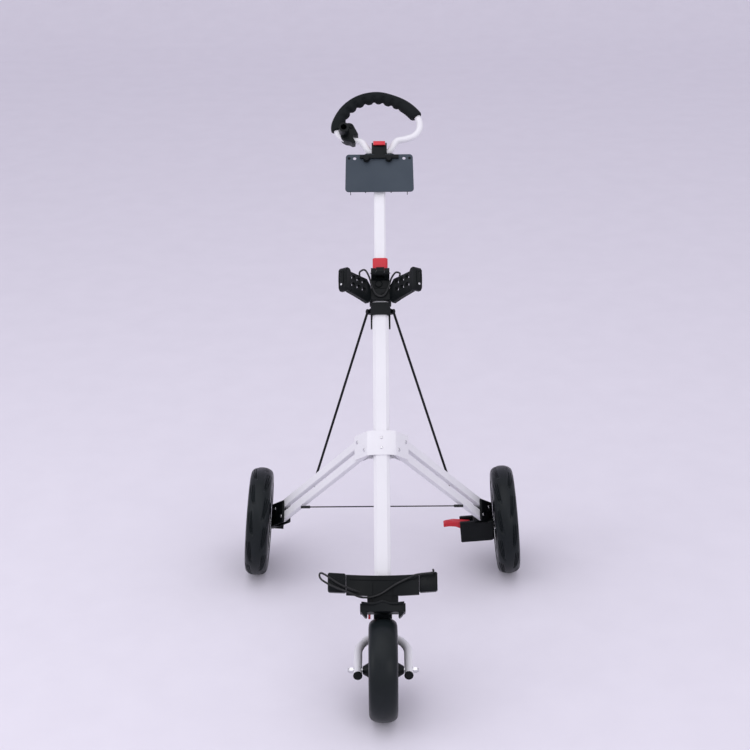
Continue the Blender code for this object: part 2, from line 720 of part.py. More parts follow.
def front_fork():
    """U tube, yoke, caps, axle, front wheel and the fork's hinge pin."""
    tube = part("fork_tube", pipe(fork_route(), FORK_RADIUS, 3), FRONT, "white", PIVOT)
    bore = rod((-0.1, 0, 0), (0.1, 0, 0), AXLE_RADIUS + GAP, 13)
    cut(tube, shape("axle_room", bore, FRONT))
    yoke = part("fork_yoke", block((-YOKE_HALF, BIGHT_Y - 0.008, -0.0135),
                                   (YOKE_HALF, BIGHT_Y + 0.008, PIVOT.z)), FRONT, "black", PIVOT)
    knuckle = rod(PIVOT - Vector((YOKE_HALF, 0, 0)), PIVOT + Vector((YOKE_HALF, 0, 0)), 0.010, 20)
    join(yoke, shape("yoke_knuckle", knuckle, FRONT))
    saddle = block((-YOKE_HALF, BIGHT_Y - 0.0135, -0.0135),
                   (YOKE_HALF, BIGHT_Y + 0.0135, 0.0135))
    join(yoke, shape("yoke_saddle", saddle, FRONT))
    cut(yoke, shape("yoke_fork_room", pipe(fork_route(), FORK_RADIUS + GAP, 3), FRONT))
    pin_room = rod(PIVOT - Vector((0.1, 0, 0)), PIVOT + Vector((0.1, 0, 0)), PIVOT_RADIUS + GAP)
    cut(yoke, shape("yoke_pin_room", pin_room, FRONT))
    for side, word in ((1, "right"), (-1, "left")):
        cap = part("fork_cap_" + word, rod((side * FORK_HALF, FORK_FRONT - GAP, 0),
                                           (side * FORK_HALF, FORK_FRONT - 0.006, 0),
                                           FORK_RADIUS + 0.001, 12), FRONT, "black")
        bevel(cap, 0.001)
    out = FORK_HALF + FORK_RADIUS + 0.001
    spindle = rod((-out - 0.002, 0, 0), (out + 0.002, 0, 0), AXLE_RADIUS)
    axle = part("front_axle", spindle, FRONT, "chrome")
    for side in (1, -1):
        nut = rod((side * out, 0, 0), (side * (out + 0.008), 0, 0), 0.0075, 6)
        dome = rod((side * (out + 0.007), 0, 0), (side * (out + 0.0125), 0, 0),
                   0.0065, 12, 0.003)
        join(axle, shape("axle_nut", nut, FRONT), shape("axle_dome", dome, FRONT))
    tyre = tyre_profile(FRONT_RADIUS, FRONT_WIDTH, FRONT_SEAT)
    turned("front_tyre", tyre, FRONT_SIDES, FRONT, "tyre")
    hub_end = FORK_HALF - FORK_RADIUS - 0.001
    half = FRONT_WIDTH / 2 - 0.006
    barrel, wall, hub, web = FRONT_SEAT - GAP, 0.007, 0.020, 0.004
    tip, bore = 0.0085, AXLE_RADIUS + GAP
    profile = [(barrel, half), (barrel, -half), (barrel - wall, -half), (barrel - wall, -web),
               (hub, -web), (hub, -half), (tip, -hub_end), (bore, -hub_end), (bore, hub_end),
               (tip, hub_end), (hub, half), (hub, web), (barrel - wall, web), (barrel - wall, half)]
    turned("front_rim", profile, FRONT_SIDES, FRONT, "black")
    part("fork_hinge_pin", rod(PIVOT - Vector((YOKE_HALF + 0.009, 0, 0)),
                               PIVOT + Vector((YOKE_HALF + LUG_THICK + 0.003, 0, 0)), PIVOT_RADIUS),
         FRONT, "chrome")
    lever_in, lever_out = YOKE_HALF + LUG_THICK + 0.001, YOKE_HALF + LUG_THICK + 0.006
    outline = [(BIGHT_Y + y, PIVOT.z + z) for y, z in
               [*arc((0, 0), 0.008, 90, -60, 6), (-0.024, -0.014), (-0.040, -0.012), (-0.041, -0.005),
                (-0.024, -0.003), (-0.008, 0.0055)]]
    lever = part("fork_release", prism(outline, -lever_out, -lever_in, "X"), FRONT, "red", PIVOT)
    cut(lever, shape("lever_hole", pin_room.copy(), FRONT))


front_fork()

# ---------------------------------------------------------------- foot, cradle and bag ledge
FOOT_HALF_X = YOKE_HALF + GAP + LUG_THICK
FOOT_TOP = 0.050
FOOT_LOW = -0.012
FOOT_FACE = TUBE_HALF + 0.0045
CRADLE_THICK = 0.009
CRADLE_LOW, CRADLE_HIGH = 0.011, 0.057
CRADLE_HALF = 0.082
CRADLE_REACH = 0.018
LEDGE_LOW, LEDGE_FLOOR, LEDGE_RIM = -0.031, -0.024, -0.012
LEDGE_HALF = 0.0505
LEDGE_FRONT = 0.085


def foot():
    """The casting at the bottom of the tube, with two lugs for the fork's hinge."""
    casting = block((-FOOT_HALF_X, -FOOT_FACE, FOOT_LOW), (FOOT_HALF_X, FOOT_FACE, FOOT_TOP))
    body = part("frame_foot", casting, TUBE, "black")
    turn = Matrix.Rotation(TUBE_LEAN - math.radians(90), 4, "X")
    local = turn.inverted() @ Vector((0, PIVOT.y - FOOT_BACK, PIVOT.z - (FOOT_UP - FRONT_RADIUS)))
    lug = prism([(local.y, local.z - 0.012), *arc((local.y, local.z), 0.012, -90, 60, 8),
                 (FOOT_FACE - 0.004, local.z + 0.034), (FOOT_FACE - 0.010, local.z + 0.034),
                 (FOOT_FACE - 0.010, local.z - 0.010)], -FOOT_HALF_X, FOOT_HALF_X, "X")
    join(body, shape("foot_lugs", lug, TUBE))
    room = TUBE_HALF + GAP
    tube_room = prism(section(room, room, TUBE_CHAMFER), TUBE_FOOT - GAP, FOOT_TOP + 0.02)
    cut(body, shape("foot_room", tube_room, TUBE))
    slot = block((-YOKE_HALF - GAP, local.y - 0.013, local.z - 0.04),
                 (YOKE_HALF + GAP, local.y + 0.03, local.z + 0.0125))
    cut(body, shape("yoke_room", slot, TUBE))
    swing = block((-YOKE_HALF - GAP, FOOT_FACE - 0.001, local.z),
                  (YOKE_HALF + GAP, local.y + 0.03, local.z + 0.045))
    cut(body, shape("yoke_swing", swing, TUBE))
    pin_room = rod(PIVOT - Vector((0.1, 0, 0)), PIVOT + Vector((0.1, 0, 0)), PIVOT_RADIUS + GAP)
    cut(body, shape("foot_pin_room", pin_room, FRONT))


def cradle_line(x):
    """How far forward the cradle's back face is at a place across it."""
    return FOOT_FACE + GAP + CRADLE_REACH * (x / CRADLE_HALF) ** 2


def bag_cradle():
    """The wide curved plate with a short stem, and the two end blocks on it."""
    count = 12
    xs = [CRADLE_HALF * (2 * i / count - 1) for i in range(count + 1)]
    back = [(x, -cradle_line(x)) for x in xs]
    front = [(x, -cradle_line(x) - CRADLE_THICK) for x in reversed(xs)]
    plate = part("lower_cradle", prism(back + front, CRADLE_LOW, CRADLE_HIGH), TUBE, "black")
    stem_face = FOOT_FACE + GAP
    stem = block((-0.035, -stem_face - CRADLE_THICK, LEDGE_LOW + 0.014),
                 (0.035, -stem_face, CRADLE_LOW + 0.01))
    join(plate, shape("cradle_stem", stem, TUBE))
    for side, word in ((1, "right"), (-1, "left")):
        near = CRADLE_HALF + GAP
        far = near + 0.040
        slope = 2 * CRADLE_REACH / CRADLE_HALF
        y0, y1 = cradle_line(CRADLE_HALF), cradle_line(CRADLE_HALF) + slope * (far - near)
        outline = [(side * near, -y0), (side * near, -y0 - CRADLE_THICK - 0.012),
                   (side * far, -y1 - CRADLE_THICK - 0.010), (side * far, -y1 + 0.002)]
        if side < 0:
            outline.reverse()
        pad = part("cradle_block_" + word, prism(outline, CRADLE_LOW + 0.004, CRADLE_HIGH + 0.001),
                   TUBE, "black")
        bevel(pad, 0.0025)


def ledge():
    """The tray that the bag stands on: a floor, a raised front rim with a bump in the middle."""
    start = FOOT_FACE + 2 * GAP + CRADLE_THICK
    bump = 0.004
    count = 12
    xs = [LEDGE_HALF * (1 - 2 * i / count) for i in range(count + 1)]
    rim = [(x, -LEDGE_FRONT - bump * math.cos(math.pi * x / LEDGE_HALF)) for x in xs]
    outline = [(-LEDGE_HALF, -start), (-LEDGE_HALF, -start - 0.001), *reversed(rim),
               (LEDGE_HALF, -start)]
    tray = part("bag_ledge", prism(outline, LEDGE_LOW, LEDGE_RIM), TUBE, "black")
    inside = [(x * 0.90, y + 0.006) for x, y in rim]
    pocket_line = [(-0.9 * LEDGE_HALF, -start + 0.01), *reversed(inside),
                   (0.9 * LEDGE_HALF, -start + 0.01)]
    pocket = prism(pocket_line, LEDGE_FLOOR, LEDGE_RIM + 0.02)
    cut(tray, shape("ledge_pocket", pocket, TUBE))
    web = block((-0.026, -start - 0.002, LEDGE_LOW + 0.003),
                (0.026, -FOOT_FACE + 0.002, LEDGE_LOW + 0.0135))
    join(tray, shape("ledge_root", web, TUBE))


foot()
bag_cradle()
ledge()

CORD_RADIUS = 0.0022


def cord(name, places, face):
    """An elastic cord through places that are given in front of a face."""
    route = [(x, -face - front, up) for x, front, up in places]
    part(name, pipe(smooth(route, 3), CORD_RADIUS), TUBE, "cord")


# Cords as places across, in front of the face behind them, and up the tube
LOWER_CORD = [(-0.052, 0.0205, 0.0180), (-0.072, 0.0385, 0.0230), (-0.100, 0.0525, 0.0340),
              (-0.128, 0.0615, 0.0520), (-0.139, 0.0605, 0.0550), (-0.138, 0.0585, 0.0440),
              (-0.118, 0.0595, 0.0300), (-0.076, 0.0465, 0.0140), (-0.045, 0.0225, 0.0060),
              (-0.010, 0.0155, 0.0120), (0.030, 0.0175, 0.0360), (0.058, 0.0265, 0.0480),
              (0.074, 0.0425, 0.0530), (0.094, 0.0510, 0.0545), (0.112, 0.0580, 0.0560),
              (0.113, 0.0505, 0.0628), (0.113, 0.0425, 0.0630)]
cord("lower_bungee", LOWER_CORD, FOOT_FACE)

# ---------------------------------------------------------------- upper bag bracket
HUB_LOW = COLLAR_TOP + 0.004
HUB_HIGH = HUB_LOW + 0.028
HUB_HALF = TUBE_HALF + 0.005
HUB_WIDE = TUBE_HALF + 0.007
HUB_FACE = HUB_HALF + 0.006
ARM_ROOT = Vector((HUB_WIDE, 0.0275))
ARM_TIP = Vector((0.0765, 0.100))
ARM_THICK = 0.010
ARM_HALF = 0.024
PAD_HALF = 0.028
WINDOW_ROWS = (0.013, -0.005)     # middles of the arms' rows of windows
WINDOW_FROM = 0.022
WINDOW_PITCH = 0.021
WINDOW_LONG = 0.0145
WINDOW_HALF = 0.0045


def upper_bracket():
    """Hub clamped on the main tube, two windowed arms and a pad at each arm's tip."""
    hub = part("bracket_hub", block((-HUB_WIDE, -HUB_HALF, HUB_LOW), (HUB_WIDE, HUB_HALF, HUB_HIGH)),
               TUBE, "black")
    room = TUBE_HALF + GAP
    tube_room = prism(section(room, room, TUBE_CHAMFER), HUB_LOW - 0.02, HUB_HIGH + 0.02)
    cut(hub, shape("hub_room", tube_room, TUBE))
    saddle = block((-HUB_WIDE, -HUB_FACE, HUB_LOW),
                   (HUB_WIDE, -HUB_HALF + 0.001, HUB_HIGH))
    join(hub, shape("hub_saddle", saddle, TUBE))
    run = (ARM_TIP - ARM_ROOT).length
    angle = math.atan2(ARM_TIP.y - ARM_ROOT.y, ARM_TIP.x - ARM_ROOT.x)
    base = HUB_FACE + GAP
    for side, word in ((1, "right"), (-1, "left")):
        root = (side * ARM_ROOT.x, -base, ARM_STATION)
        home = frame("arm_frame_" + word, root, (0, 0, -side * angle), TUBE)
        line = ((0.0, HUB_LOW - ARM_STATION), (0.010, -0.034), (0.040, -0.030),
                (run, -ARM_HALF - 0.002), (run, ARM_HALF), (0.016, ARM_HALF), (0.0, 0.010))
        outline = [(side * x, z) for x, z in line]
        arm = part("bracket_arm_" + word, prism(outline, -ARM_THICK / 2, ARM_THICK / 2, "Y"),
                   home, "black")
        flush = block((-0.1, 0.0, -0.1), (0.1, 0.1, 0.1))
        flush.transform(Matrix.Rotation(side * angle, 4, "Z"))
        cut(arm, shape("arm_flush_" + word, flush, home))
        for row in WINDOW_ROWS:
            for i in range(3):
                near = WINDOW_FROM + WINDOW_PITCH * i
                far = near + WINDOW_LONG
                window = block((min(side * near, side * far), -0.02, row - WINDOW_HALF),
                               (max(side * near, side * far), 0.02, row + WINDOW_HALF))
                cut(arm, shape("arm_window", window, home))
        rise = PAD_HALF - 0.007
        pad_outline = [(side * (run + GAP + x), z) for x, z in
                       ((0.0, -PAD_HALF + 0.006), (0.005, -PAD_HALF), (0.016, -PAD_HALF),
                        (0.021, -rise), (0.021, rise), (0.016, PAD_HALF), (0.005, PAD_HALF),
                        (0.0, PAD_HALF - 0.006))]
        if side < 0:
            pad_outline.reverse()
        pad = part("arm_pad_" + word, prism(pad_outline, -0.012, 0.012, "Y"), home, "black")
        bevel(pad, 0.002)


upper_bracket()
UPPER_CORD = [(-0.049, 0.0260, 0.7640), (-0.048, 0.0210, 0.7760), (-0.036, 0.0160, 0.7820),
              (-0.026, 0.0130, 0.7650), (-0.020, 0.0090, 0.7440), (-0.011, 0.0055, 0.7260),
              (0.000, 0.0045, 0.7210), (0.011, 0.0055, 0.7250), (0.020, 0.0090, 0.7420),
              (0.026, 0.0130, 0.7610), (0.036, 0.0160, 0.7750), (0.046, 0.0210, 0.7720),
              (0.046, 0.0260, 0.7635)]
cord("upper_bungee", UPPER_CORD, HUB_FACE)

# ---------------------------------------------------------------- fold hinge and upper tube
BASE_LOW = HUB_HIGH + 0.002
SPLIT = HINGE_STATION + 0.0065
BASE_HALF = TUBE_HALF + 0.003
HEAD_TOP = SPLIT + 0.005
UPPER_FOOT = HEAD_TOP + GAP
UPPER_TOP = UPPER_FOOT + UPPER_LENGTH
HINGE = Vector((0, -HINGE_FORWARD, HINGE_STATION))
TONGUE_HALF = 0.0095
LATCH_LENGTH = 0.031


def fold_hinge():
    """A fixed base on the main tube, a head on the upper tube and the pin between them."""
    casting = block((-BASE_HALF, -BASE_HALF, BASE_LOW), (BASE_HALF, BASE_HALF, SPLIT - GAP))
    base = part("hinge_base", casting, TUBE, "black")
    bevel(base, 0.0015)
    lug_line = [(-BASE_HALF + 0.004, HINGE.z - 0.018), (HINGE.y, HINGE.z - 0.010),
                *arc((HINGE.y, HINGE.z), 0.010, 240, 90, 8), (-BASE_HALF - 0.002, SPLIT - GAP),
                (-BASE_HALF + 0.004, SPLIT - GAP)]
    join(base, shape("hinge_lugs", prism(lug_line[::-1], -BASE_HALF, BASE_HALF, "X"), TUBE))
    slot = block((-TONGUE_HALF - GAP, HINGE.y - 0.02, HINGE.z - 0.013),
                 (TONGUE_HALF + GAP, -TUBE_HALF - 0.0045, HINGE.z + 0.02))
    cut(base, shape("tongue_room", slot, TUBE))
    room = TUBE_HALF + GAP
    tube_room = prism(section(room, room, TUBE_CHAMFER), BASE_LOW - 0.02, TUBE_TOP + GAP)
    cut(base, shape("base_room", tube_room, TUBE))
    reach = Vector((0.05, 0, 0))
    pin_room = shape("hinge_pin_room", rod(HINGE - reach, HINGE + reach, PIVOT_RADIUS + GAP), TUBE)
    cut(base, pin_room)
    ends = Vector((BASE_HALF + 0.002, 0, 0))
    part("fold_hinge_pin", rod(HINGE - ends, HINGE + ends, PIVOT_RADIUS), TUBE, "chrome")
    head_half = UPPER_HALF + 0.005
    plate = block((-head_half, -head_half, SPLIT), (head_half, head_half, HEAD_TOP))
    head = part("hinge_head", plate, TUBE, "black", HINGE)
    tongue = prism([(-head_half + 0.004, HEAD_TOP), (-head_half + 0.004, SPLIT),
                    (-TUBE_HALF - 0.0055, SPLIT), (HINGE.y + 0.0093, HINGE.z),
                    *arc((HINGE.y, HINGE.z), 0.0093, -10, -180, 9), (HINGE.y - 0.004, HEAD_TOP)][::-1],
                   -TONGUE_HALF, TONGUE_HALF, "X")
    join(head, shape("hinge_tongue", tongue, TUBE))
    cut(head, pin_room)


def upper_tube():
    """The slimmer tube above the hinge and the red latch that slides on it."""
    hollow("upper_tube", section(UPPER_HALF, UPPER_HALF, UPPER_CHAMFER), UPPER_FOOT, UPPER_TOP,
           UPPER_WALL, TUBE, "white", HINGE)
    outer = UPPER_HALF + 0.004
    sleeve = prism(section(outer, outer, UPPER_CHAMFER), UPPER_FOOT + GAP, UPPER_FOOT + LATCH_LENGTH)
    latch = part("fold_latch", sleeve, TUBE, "red", (0, 0, UPPER_FOOT))
    room = UPPER_HALF + RUN
    tube_room = prism(section(room, room, UPPER_CHAMFER), UPPER_FOOT - 0.02, UPPER_FOOT + 0.06)
    cut(latch, shape("latch_room", tube_room, TUBE))


fold_hinge()
upper_tube()

# ---------------------------------------------------------------- clamp, handle loop and panel
LOOP_UP = UPPER_TOP + CLAMP_UP
TILT = Vector((0, 0, LOOP_UP))
LOOP_LINE = [(0.004, 0.0), (0.018, 0.0), (0.028, 0.007), (0.043, 0.030), (0.066, 0.036), (0.090, 0.047),
             (0.1005, 0.069), (0.094, 0.094), (0.068, 0.121), (0.036, 0.138), (-0.004, 0.148),
             (-0.046, 0.140), (-0.080, 0.116), (-0.101, 0.082), (-0.1035, 0.058), (-0.090, 0.040),
             (-0.066, 0.033), (-0.043, 0.028), (-0.028, 0.007), (-0.018, 0.0), (-0.004, 0.0)]
LOOP_STEPS = 2
GRIP_FROM, GRIP_TO = 7, 14
LEVER_HALF = 0.0145               # half the clamp lever's width
LEVER_EAR_OUT = 0.0185            # outer faces of the clamp's ears beside the lever
LEVER_PIN_RADIUS = 0.002
LEVER_ABOVE = 0.0210              # lever's pivot above the loop's straight run
SOCKET_ACROSS = -0.086
SOCKET_ABOVE = 0.050              # umbrella socket's axis above the loop's straight run
SOCKET_RADIUS = 0.0125
SOCKET_BORE = 0.0075
HOLE_ACROSS = 0.060               # scorecard panel's holes from its middle


def handle():
    """Clamp, latch lever, loop, foam grip and umbrella holder."""
    cap = block((-0.036, -0.0185, UPPER_TOP + GAP), (0.036, 0.0185, LOOP_UP + 0.0135))
    clamp = part("clamp_body", cap, TUBE, "black", HINGE)
    bevel(clamp, 0.004)
    plug_half = UPPER_HALF - UPPER_WALL - GAP
    plug = prism(section(plug_half, plug_half, UPPER_CHAMFER * 0.7),
                 UPPER_TOP - 0.020, UPPER_TOP + 0.004)
    join(clamp, shape("clamp_plug", plug, TUBE))
    route = [(x, 0, LOOP_UP + z) for x, z in LOOP_LINE]
    line = smooth(route, LOOP_STEPS)
    line[0], line[-1] = Vector(route[0]), Vector(route[-1])
    bore = rod((-CLAMP_CAP, 0, LOOP_UP), (CLAMP_CAP, 0, LOOP_UP), LOOP_RADIUS + TILT_GAP, 20)
    cut(clamp, shape("loop_room", bore, TUBE))
    for near, far in ((-0.05, -CLAMP_GRIP), (CLAMP_GRIP, 0.05)):
        shoulder = block((near, -0.03, LOOP_UP - LOOP_RADIUS - 0.0015), (far, 0.03, LOOP_UP + 0.03))
        cut(clamp, shape("loop_mouth", shoulder, TUBE))
    part("handle_loop", pipe(line, LOOP_RADIUS, 3), TUBE, "white", TILT)
    grip_line = line[GRIP_FROM * LOOP_STEPS:GRIP_TO * LOOP_STEPS + 1]
    grip = part("grip", pipe(grip_line, GRIP_RADIUS, 3), TUBE, "foam", TILT)
    loop_gap = shape("loop_gap", pipe(line, LOOP_RADIUS + GAP, 3), TUBE)
    cut(grip, loop_gap)
    lever_pivot = Vector((0, 0.004, LOOP_UP + LEVER_ABOVE))
    outline = [(lever_pivot.y + y, lever_pivot.z + z) for y, z in
               (*arc((0, 0), 0.0053, -90, 80, 7), (-0.014, 0.0055), (-0.0250, 0.0010),
                (-0.0285, -0.010), (-0.0252, -0.0105), (-0.0235, -0.0048), (-0.010, -0.0053))]
    lever = part("clamp_lever", prism(outline[::-1], -LEVER_HALF, LEVER_HALF, "X"),
                 TUBE, "red", lever_pivot)
    bevel(lever, 0.001)
    hinge_line = [lever_pivot + Vector((x, 0, 0)) for x in (-LEVER_EAR_OUT, LEVER_EAR_OUT)]
    cut(lever, shape("lever_pin_room", rod(*hinge_line, LEVER_PIN_RADIUS + GAP, 10), TUBE))
    ear_in = LEVER_HALF + RUN
    for low_x, high_x in ((-LEVER_EAR_OUT, -ear_in), (ear_in, LEVER_EAR_OUT)):
        ear = block((low_x, lever_pivot.y - 0.006, LOOP_UP + 0.010),
                    (high_x, lever_pivot.y + 0.006, lever_pivot.z + 0.005))
        join(clamp, shape("lever_ear", ear, TUBE))
    join(clamp, shape("lever_pin", rod(*hinge_line, LEVER_PIN_RADIUS, 10), TUBE))
    holder_low, holder_high = LOOP_UP + 0.014, LOOP_UP + 0.050
    holder = part("umbrella_clamp", block((-0.099, -0.016, holder_low), (-0.062, 0.016, holder_high)),
                  TUBE, "black", TILT)
    bevel(holder, 0.004)
    screw_ear = block((-0.080, -0.015, holder_high - 0.008), (-0.062, 0.008, holder_high + 0.019))
    join(holder, shape("holder_ear", screw_ear, TUBE))
    cut(holder, loop_gap)
    socket_z = LOOP_UP + SOCKET_ABOVE
    barrel = rod((SOCKET_ACROSS, -0.0163, socket_z), (SOCKET_ACROSS, -0.044, socket_z),
                 SOCKET_RADIUS, 20)
    socket = part("umbrella_socket", barrel, TUBE, "black", (SOCKET_ACROSS, -0.030, socket_z))
    bore = rod((SOCKET_ACROSS, -0.0195, socket_z), (SOCKET_ACROSS, -0.06, socket_z),
               SOCKET_BORE, 16)
    cut(socket, shape("socket_bore", bore, TUBE))


def scorecard():
    """A bar with two round knobs on the clamp, and the panel that hangs from it."""
    face = UPPER_HALF + 0.0065
    panel_top = UPPER_TOP + 0.006
    hinge = Vector((0, -face - PANEL_THICK / 2, panel_top - 0.004))
    rail = block((-0.047, -face - PANEL_THICK - 0.0070, panel_top - 0.012),
                 (0.047, -face - PANEL_THICK - 0.0010, panel_top - 0.004))
    bar = part("panel_bar", rail, TUBE, "black", HINGE)
    neck = block((-0.012, -face - PANEL_THICK - 0.0070, panel_top - 0.006),
                 (0.012, -0.0188, panel_top + 0.0075))
    join(bar, shape("bar_neck", neck, TUBE))
    for x in (-0.031, 0.023):
        knob = rod((x, -face - PANEL_THICK - 0.006, panel_top - 0.015),
                   (x, -face - PANEL_THICK - 0.015, panel_top - 0.015), 0.0085, 16, 0.006)
        join(bar, shape("bar_knob", knob, TUBE))
    half = PANEL_WIDTH / 2
    low = panel_top - PANEL_HEIGHT
    r = 0.008
    top_half = half - 0.0015
    outline = [*arc((half - r, low + r), r, -90, 0, 4),
               *arc((top_half - r, panel_top - r), r, 0, 90, 4),
               *arc((r - top_half, panel_top - r), r, 90, 180, 4),
               *arc((r - half, low + r), r, 180, 270, 4)]
    panel = part("scorecard_panel", prism(outline, -face - PANEL_THICK, -face, "Y"),
                 TUBE, "slate", hinge)
    for x in (-HOLE_ACROSS, HOLE_ACROSS):
        hole = rod((x, -0.1, panel_top - 0.010), (x, 0.1, panel_top - 0.010), 0.0042, 12)
        cut(panel, shape("panel_hole", hole, TUBE))
    notch = block((-0.0125, -0.1, panel_top - 0.0065), (0.0125, 0.1, panel_top + 0.01))
    cut(panel, shape("panel_notch", notch, TUBE))


handle()
scorecard()
bpy.context.view_layer.update()
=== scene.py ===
"""Finishes and fine surfaces of a three-wheel golf push trolley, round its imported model.

Metres, +Z up, front wheel towards -Y. New surfaces are numpy grids: a section carried along a
path, a profile turned about an axle, or an outline carried from front to back.
"""
import json
import math

import bmesh
import bpy
import numpy as np
from mathutils import Matrix, Vector
from mathutils.bvhtree import BVHTree


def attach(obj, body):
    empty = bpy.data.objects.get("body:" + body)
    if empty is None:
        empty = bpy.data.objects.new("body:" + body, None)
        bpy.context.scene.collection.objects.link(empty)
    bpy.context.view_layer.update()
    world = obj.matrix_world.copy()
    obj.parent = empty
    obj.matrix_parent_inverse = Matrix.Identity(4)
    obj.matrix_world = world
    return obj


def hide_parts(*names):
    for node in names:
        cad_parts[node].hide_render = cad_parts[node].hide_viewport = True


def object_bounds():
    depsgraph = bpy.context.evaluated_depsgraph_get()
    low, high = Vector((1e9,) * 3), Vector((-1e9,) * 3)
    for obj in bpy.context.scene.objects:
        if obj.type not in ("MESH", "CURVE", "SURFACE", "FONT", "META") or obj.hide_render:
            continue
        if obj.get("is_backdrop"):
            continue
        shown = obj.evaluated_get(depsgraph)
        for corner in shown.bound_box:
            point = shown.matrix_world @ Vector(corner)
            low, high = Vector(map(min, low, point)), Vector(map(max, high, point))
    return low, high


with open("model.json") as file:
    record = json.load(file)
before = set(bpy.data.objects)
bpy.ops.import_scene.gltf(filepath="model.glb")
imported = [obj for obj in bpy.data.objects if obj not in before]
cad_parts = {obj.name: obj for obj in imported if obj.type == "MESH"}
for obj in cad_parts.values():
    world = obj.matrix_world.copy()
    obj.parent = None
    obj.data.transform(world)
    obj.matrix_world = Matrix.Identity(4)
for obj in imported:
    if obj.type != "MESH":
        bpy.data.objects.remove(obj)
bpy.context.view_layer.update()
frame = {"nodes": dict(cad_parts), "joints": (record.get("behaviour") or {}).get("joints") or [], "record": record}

# ---------------------------------------------------------------- places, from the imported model
JOINTS = {joint["name"]: joint for joint in frame["joints"]}
SLOTS = {part["node"]: part["material_slot"] for part in frame["record"]["subparts"]}
BODY_OF = {node: body for body, nodes in frame["record"]["behaviour"]["bodies"].items()
           for node in nodes}
SIDES = (("right", 1.0), ("left", -1.0))


def spot(joint):
    """The point that a hinge turns about."""
    return np.array(JOINTS[joint]["pos_m"], float)


def unit(vector):
    """Vectors of length one, along the last axis."""
    vector = np.asarray(vector, float)
    return vector / np.linalg.norm(vector, axis=-1, keepdims=True)


def axis(joint):
    """The direction that a joint turns about or slides along."""
    return unit(JOINTS[joint]["axis"])


ACROSS = np.array((1.0, 0.0, 0.0))
UP = np.array((0.0, 0.0, 1.0))
UP_TUBE = -axis("collar_slide")
OFF_TUBE = np.cross(ACROSS, UP_TUBE)
LOOP_STATION = 1.1026             # handle's tilt axis above the main tube's foot, up the tube
FOOT = spot("handle_tilt") - LOOP_STATION * UP_TUBE

TUBE_HALF = 0.019
BAR_THICK = 0.014
PLATE = 0.002
EAR_FACE = BAR_THICK / 2 + 0.0008 + PLATE     # bar's middle plane to the bracket's front face
CARRIER_FACE = EAR_FACE + PLATE
REAR_RADIUS, REAR_WIDTH, REAR_SEAT = 0.1388, 0.0578, 0.103
FRONT_RADIUS, FRONT_WIDTH, FRONT_SEAT = 0.1153, 0.065, 0.082
RIM_HALF = 0.026
FORK_HALF, FORK_RADIUS, FORK_FRONT, FORK_STRAIGHT = 0.0567, 0.0095, -0.018, 0.066
LOOP_RADIUS, GRIP_RADIUS = 0.008, 0.0140
ARM_ROOT, ARM_RUN, ARM_TURN = (0.026, 0.0303), 0.08835, math.atan2(0.0725, 0.0505)
ARM_STATION = 0.7355
PAD_END = ARM_RUN + 0.0213        # an upper bracket arm's root to its pad's end face
RAY_START = 0.3                   # how far in front of the tube's axis the lines of front_of start

# edges turned by more than these stay sharp: on new pieces, on softened parts and on plates
CREASE, SOFT_CREASE, PLATE_CREASE = math.radians(42), math.radians(35), math.radians(40)
WELD, FLAT = 0.00002, math.radians(0.5)     # corners joined and faces taken as one when softening


def on_tube(points):
    """World places of points given across the main tube, behind it, and up it from its foot."""
    points = np.asarray(points, float)
    return FOOT + points @ np.array((ACROSS, -OFF_TUBE, UP_TUBE))


def leg_ways(word):
    """A leg's own directions: outward in its plane, and square to the plane towards the front."""
    side = dict(SIDES)[word]
    turn = axis("lower_arm_fold_" + word)
    return np.cross(turn, UP_TUBE), -side * turn


def reach(node):
    """A part's lowest and highest places across the main tube, behind it and up it."""
    mesh = frame["nodes"][node].data
    points = np.empty(3 * len(mesh.vertices))
    mesh.vertices.foreach_get("co", points)
    local = (points.reshape(-1, 3) - FOOT) @ np.array((ACROSS, -OFF_TUBE, UP_TUBE)).T
    return local.min(0), local.max(0)


def on_arm(side, along, out, up):
    """World places by an upper bracket arm: along it from its root, out from its middle, and up."""
    c, s = math.cos(ARM_TURN), math.sin(ARM_TURN)
    across = side * (ARM_ROOT[0] + along * c + out * s)
    behind = -ARM_ROOT[1] - along * s + out * c
    return on_tube((across, behind, ARM_STATION + up))


def front_of(node, places):
    """Where lines that run straight back through (across, up) places first meet a part."""
    mesh = frame["nodes"][node].data
    tree = BVHTree.FromPolygons([v.co for v in mesh.vertices],
                                [face.vertices for face in mesh.polygons])
    starts = on_tube([(across, -RAY_START, up) for across, up in places])
    return np.array([tree.ray_cast(Vector(start), Vector(-OFF_TUBE))[0] for start in starts])


# ---------------------------------------------------------------- surfaces
def smooth(points, steps):
    """A Catmull-Rom curve through the points: on each stretch, a cubic whose slope at a point is
    half the step between that point's neighbours."""
    points = np.asarray(points, float)
    ends = np.vstack((2 * points[0] - points[1], points, 2 * points[-1] - points[-2]))
    before, start, end, after = ends[:-3, None], ends[1:-2, None], ends[2:-1, None], ends[3:, None]
    t = (np.arange(steps) / steps)[None, :, None]
    curve = (2 * start + (end - before) * t + (2 * before - 5 * start + 4 * end - after) * t ** 2
             + (3 * start - before - 3 * end + after) * t ** 3) / 2
    return np.vstack((curve.reshape(-1, points.shape[1]), points[-1]))


def quads(rows, columns, closed_rows, closed_columns):
    """Corner numbers, and grid places before wrapping, of the quads of a grid of points."""
    r = np.arange(rows if closed_rows else rows - 1)[:, None]
    c = np.arange(columns if closed_columns else columns - 1)[None, :]
    corners = [np.broadcast_arrays(r + i, c + j) for i, j in ((0, 0), (0, 1), (1, 1), (1, 0))]
    place = np.stack([np.stack(pair, -1) for pair in corners], 2).reshape(-1, 4, 2)
    return (place[..., 0] % rows) * columns + place[..., 1] % columns, place


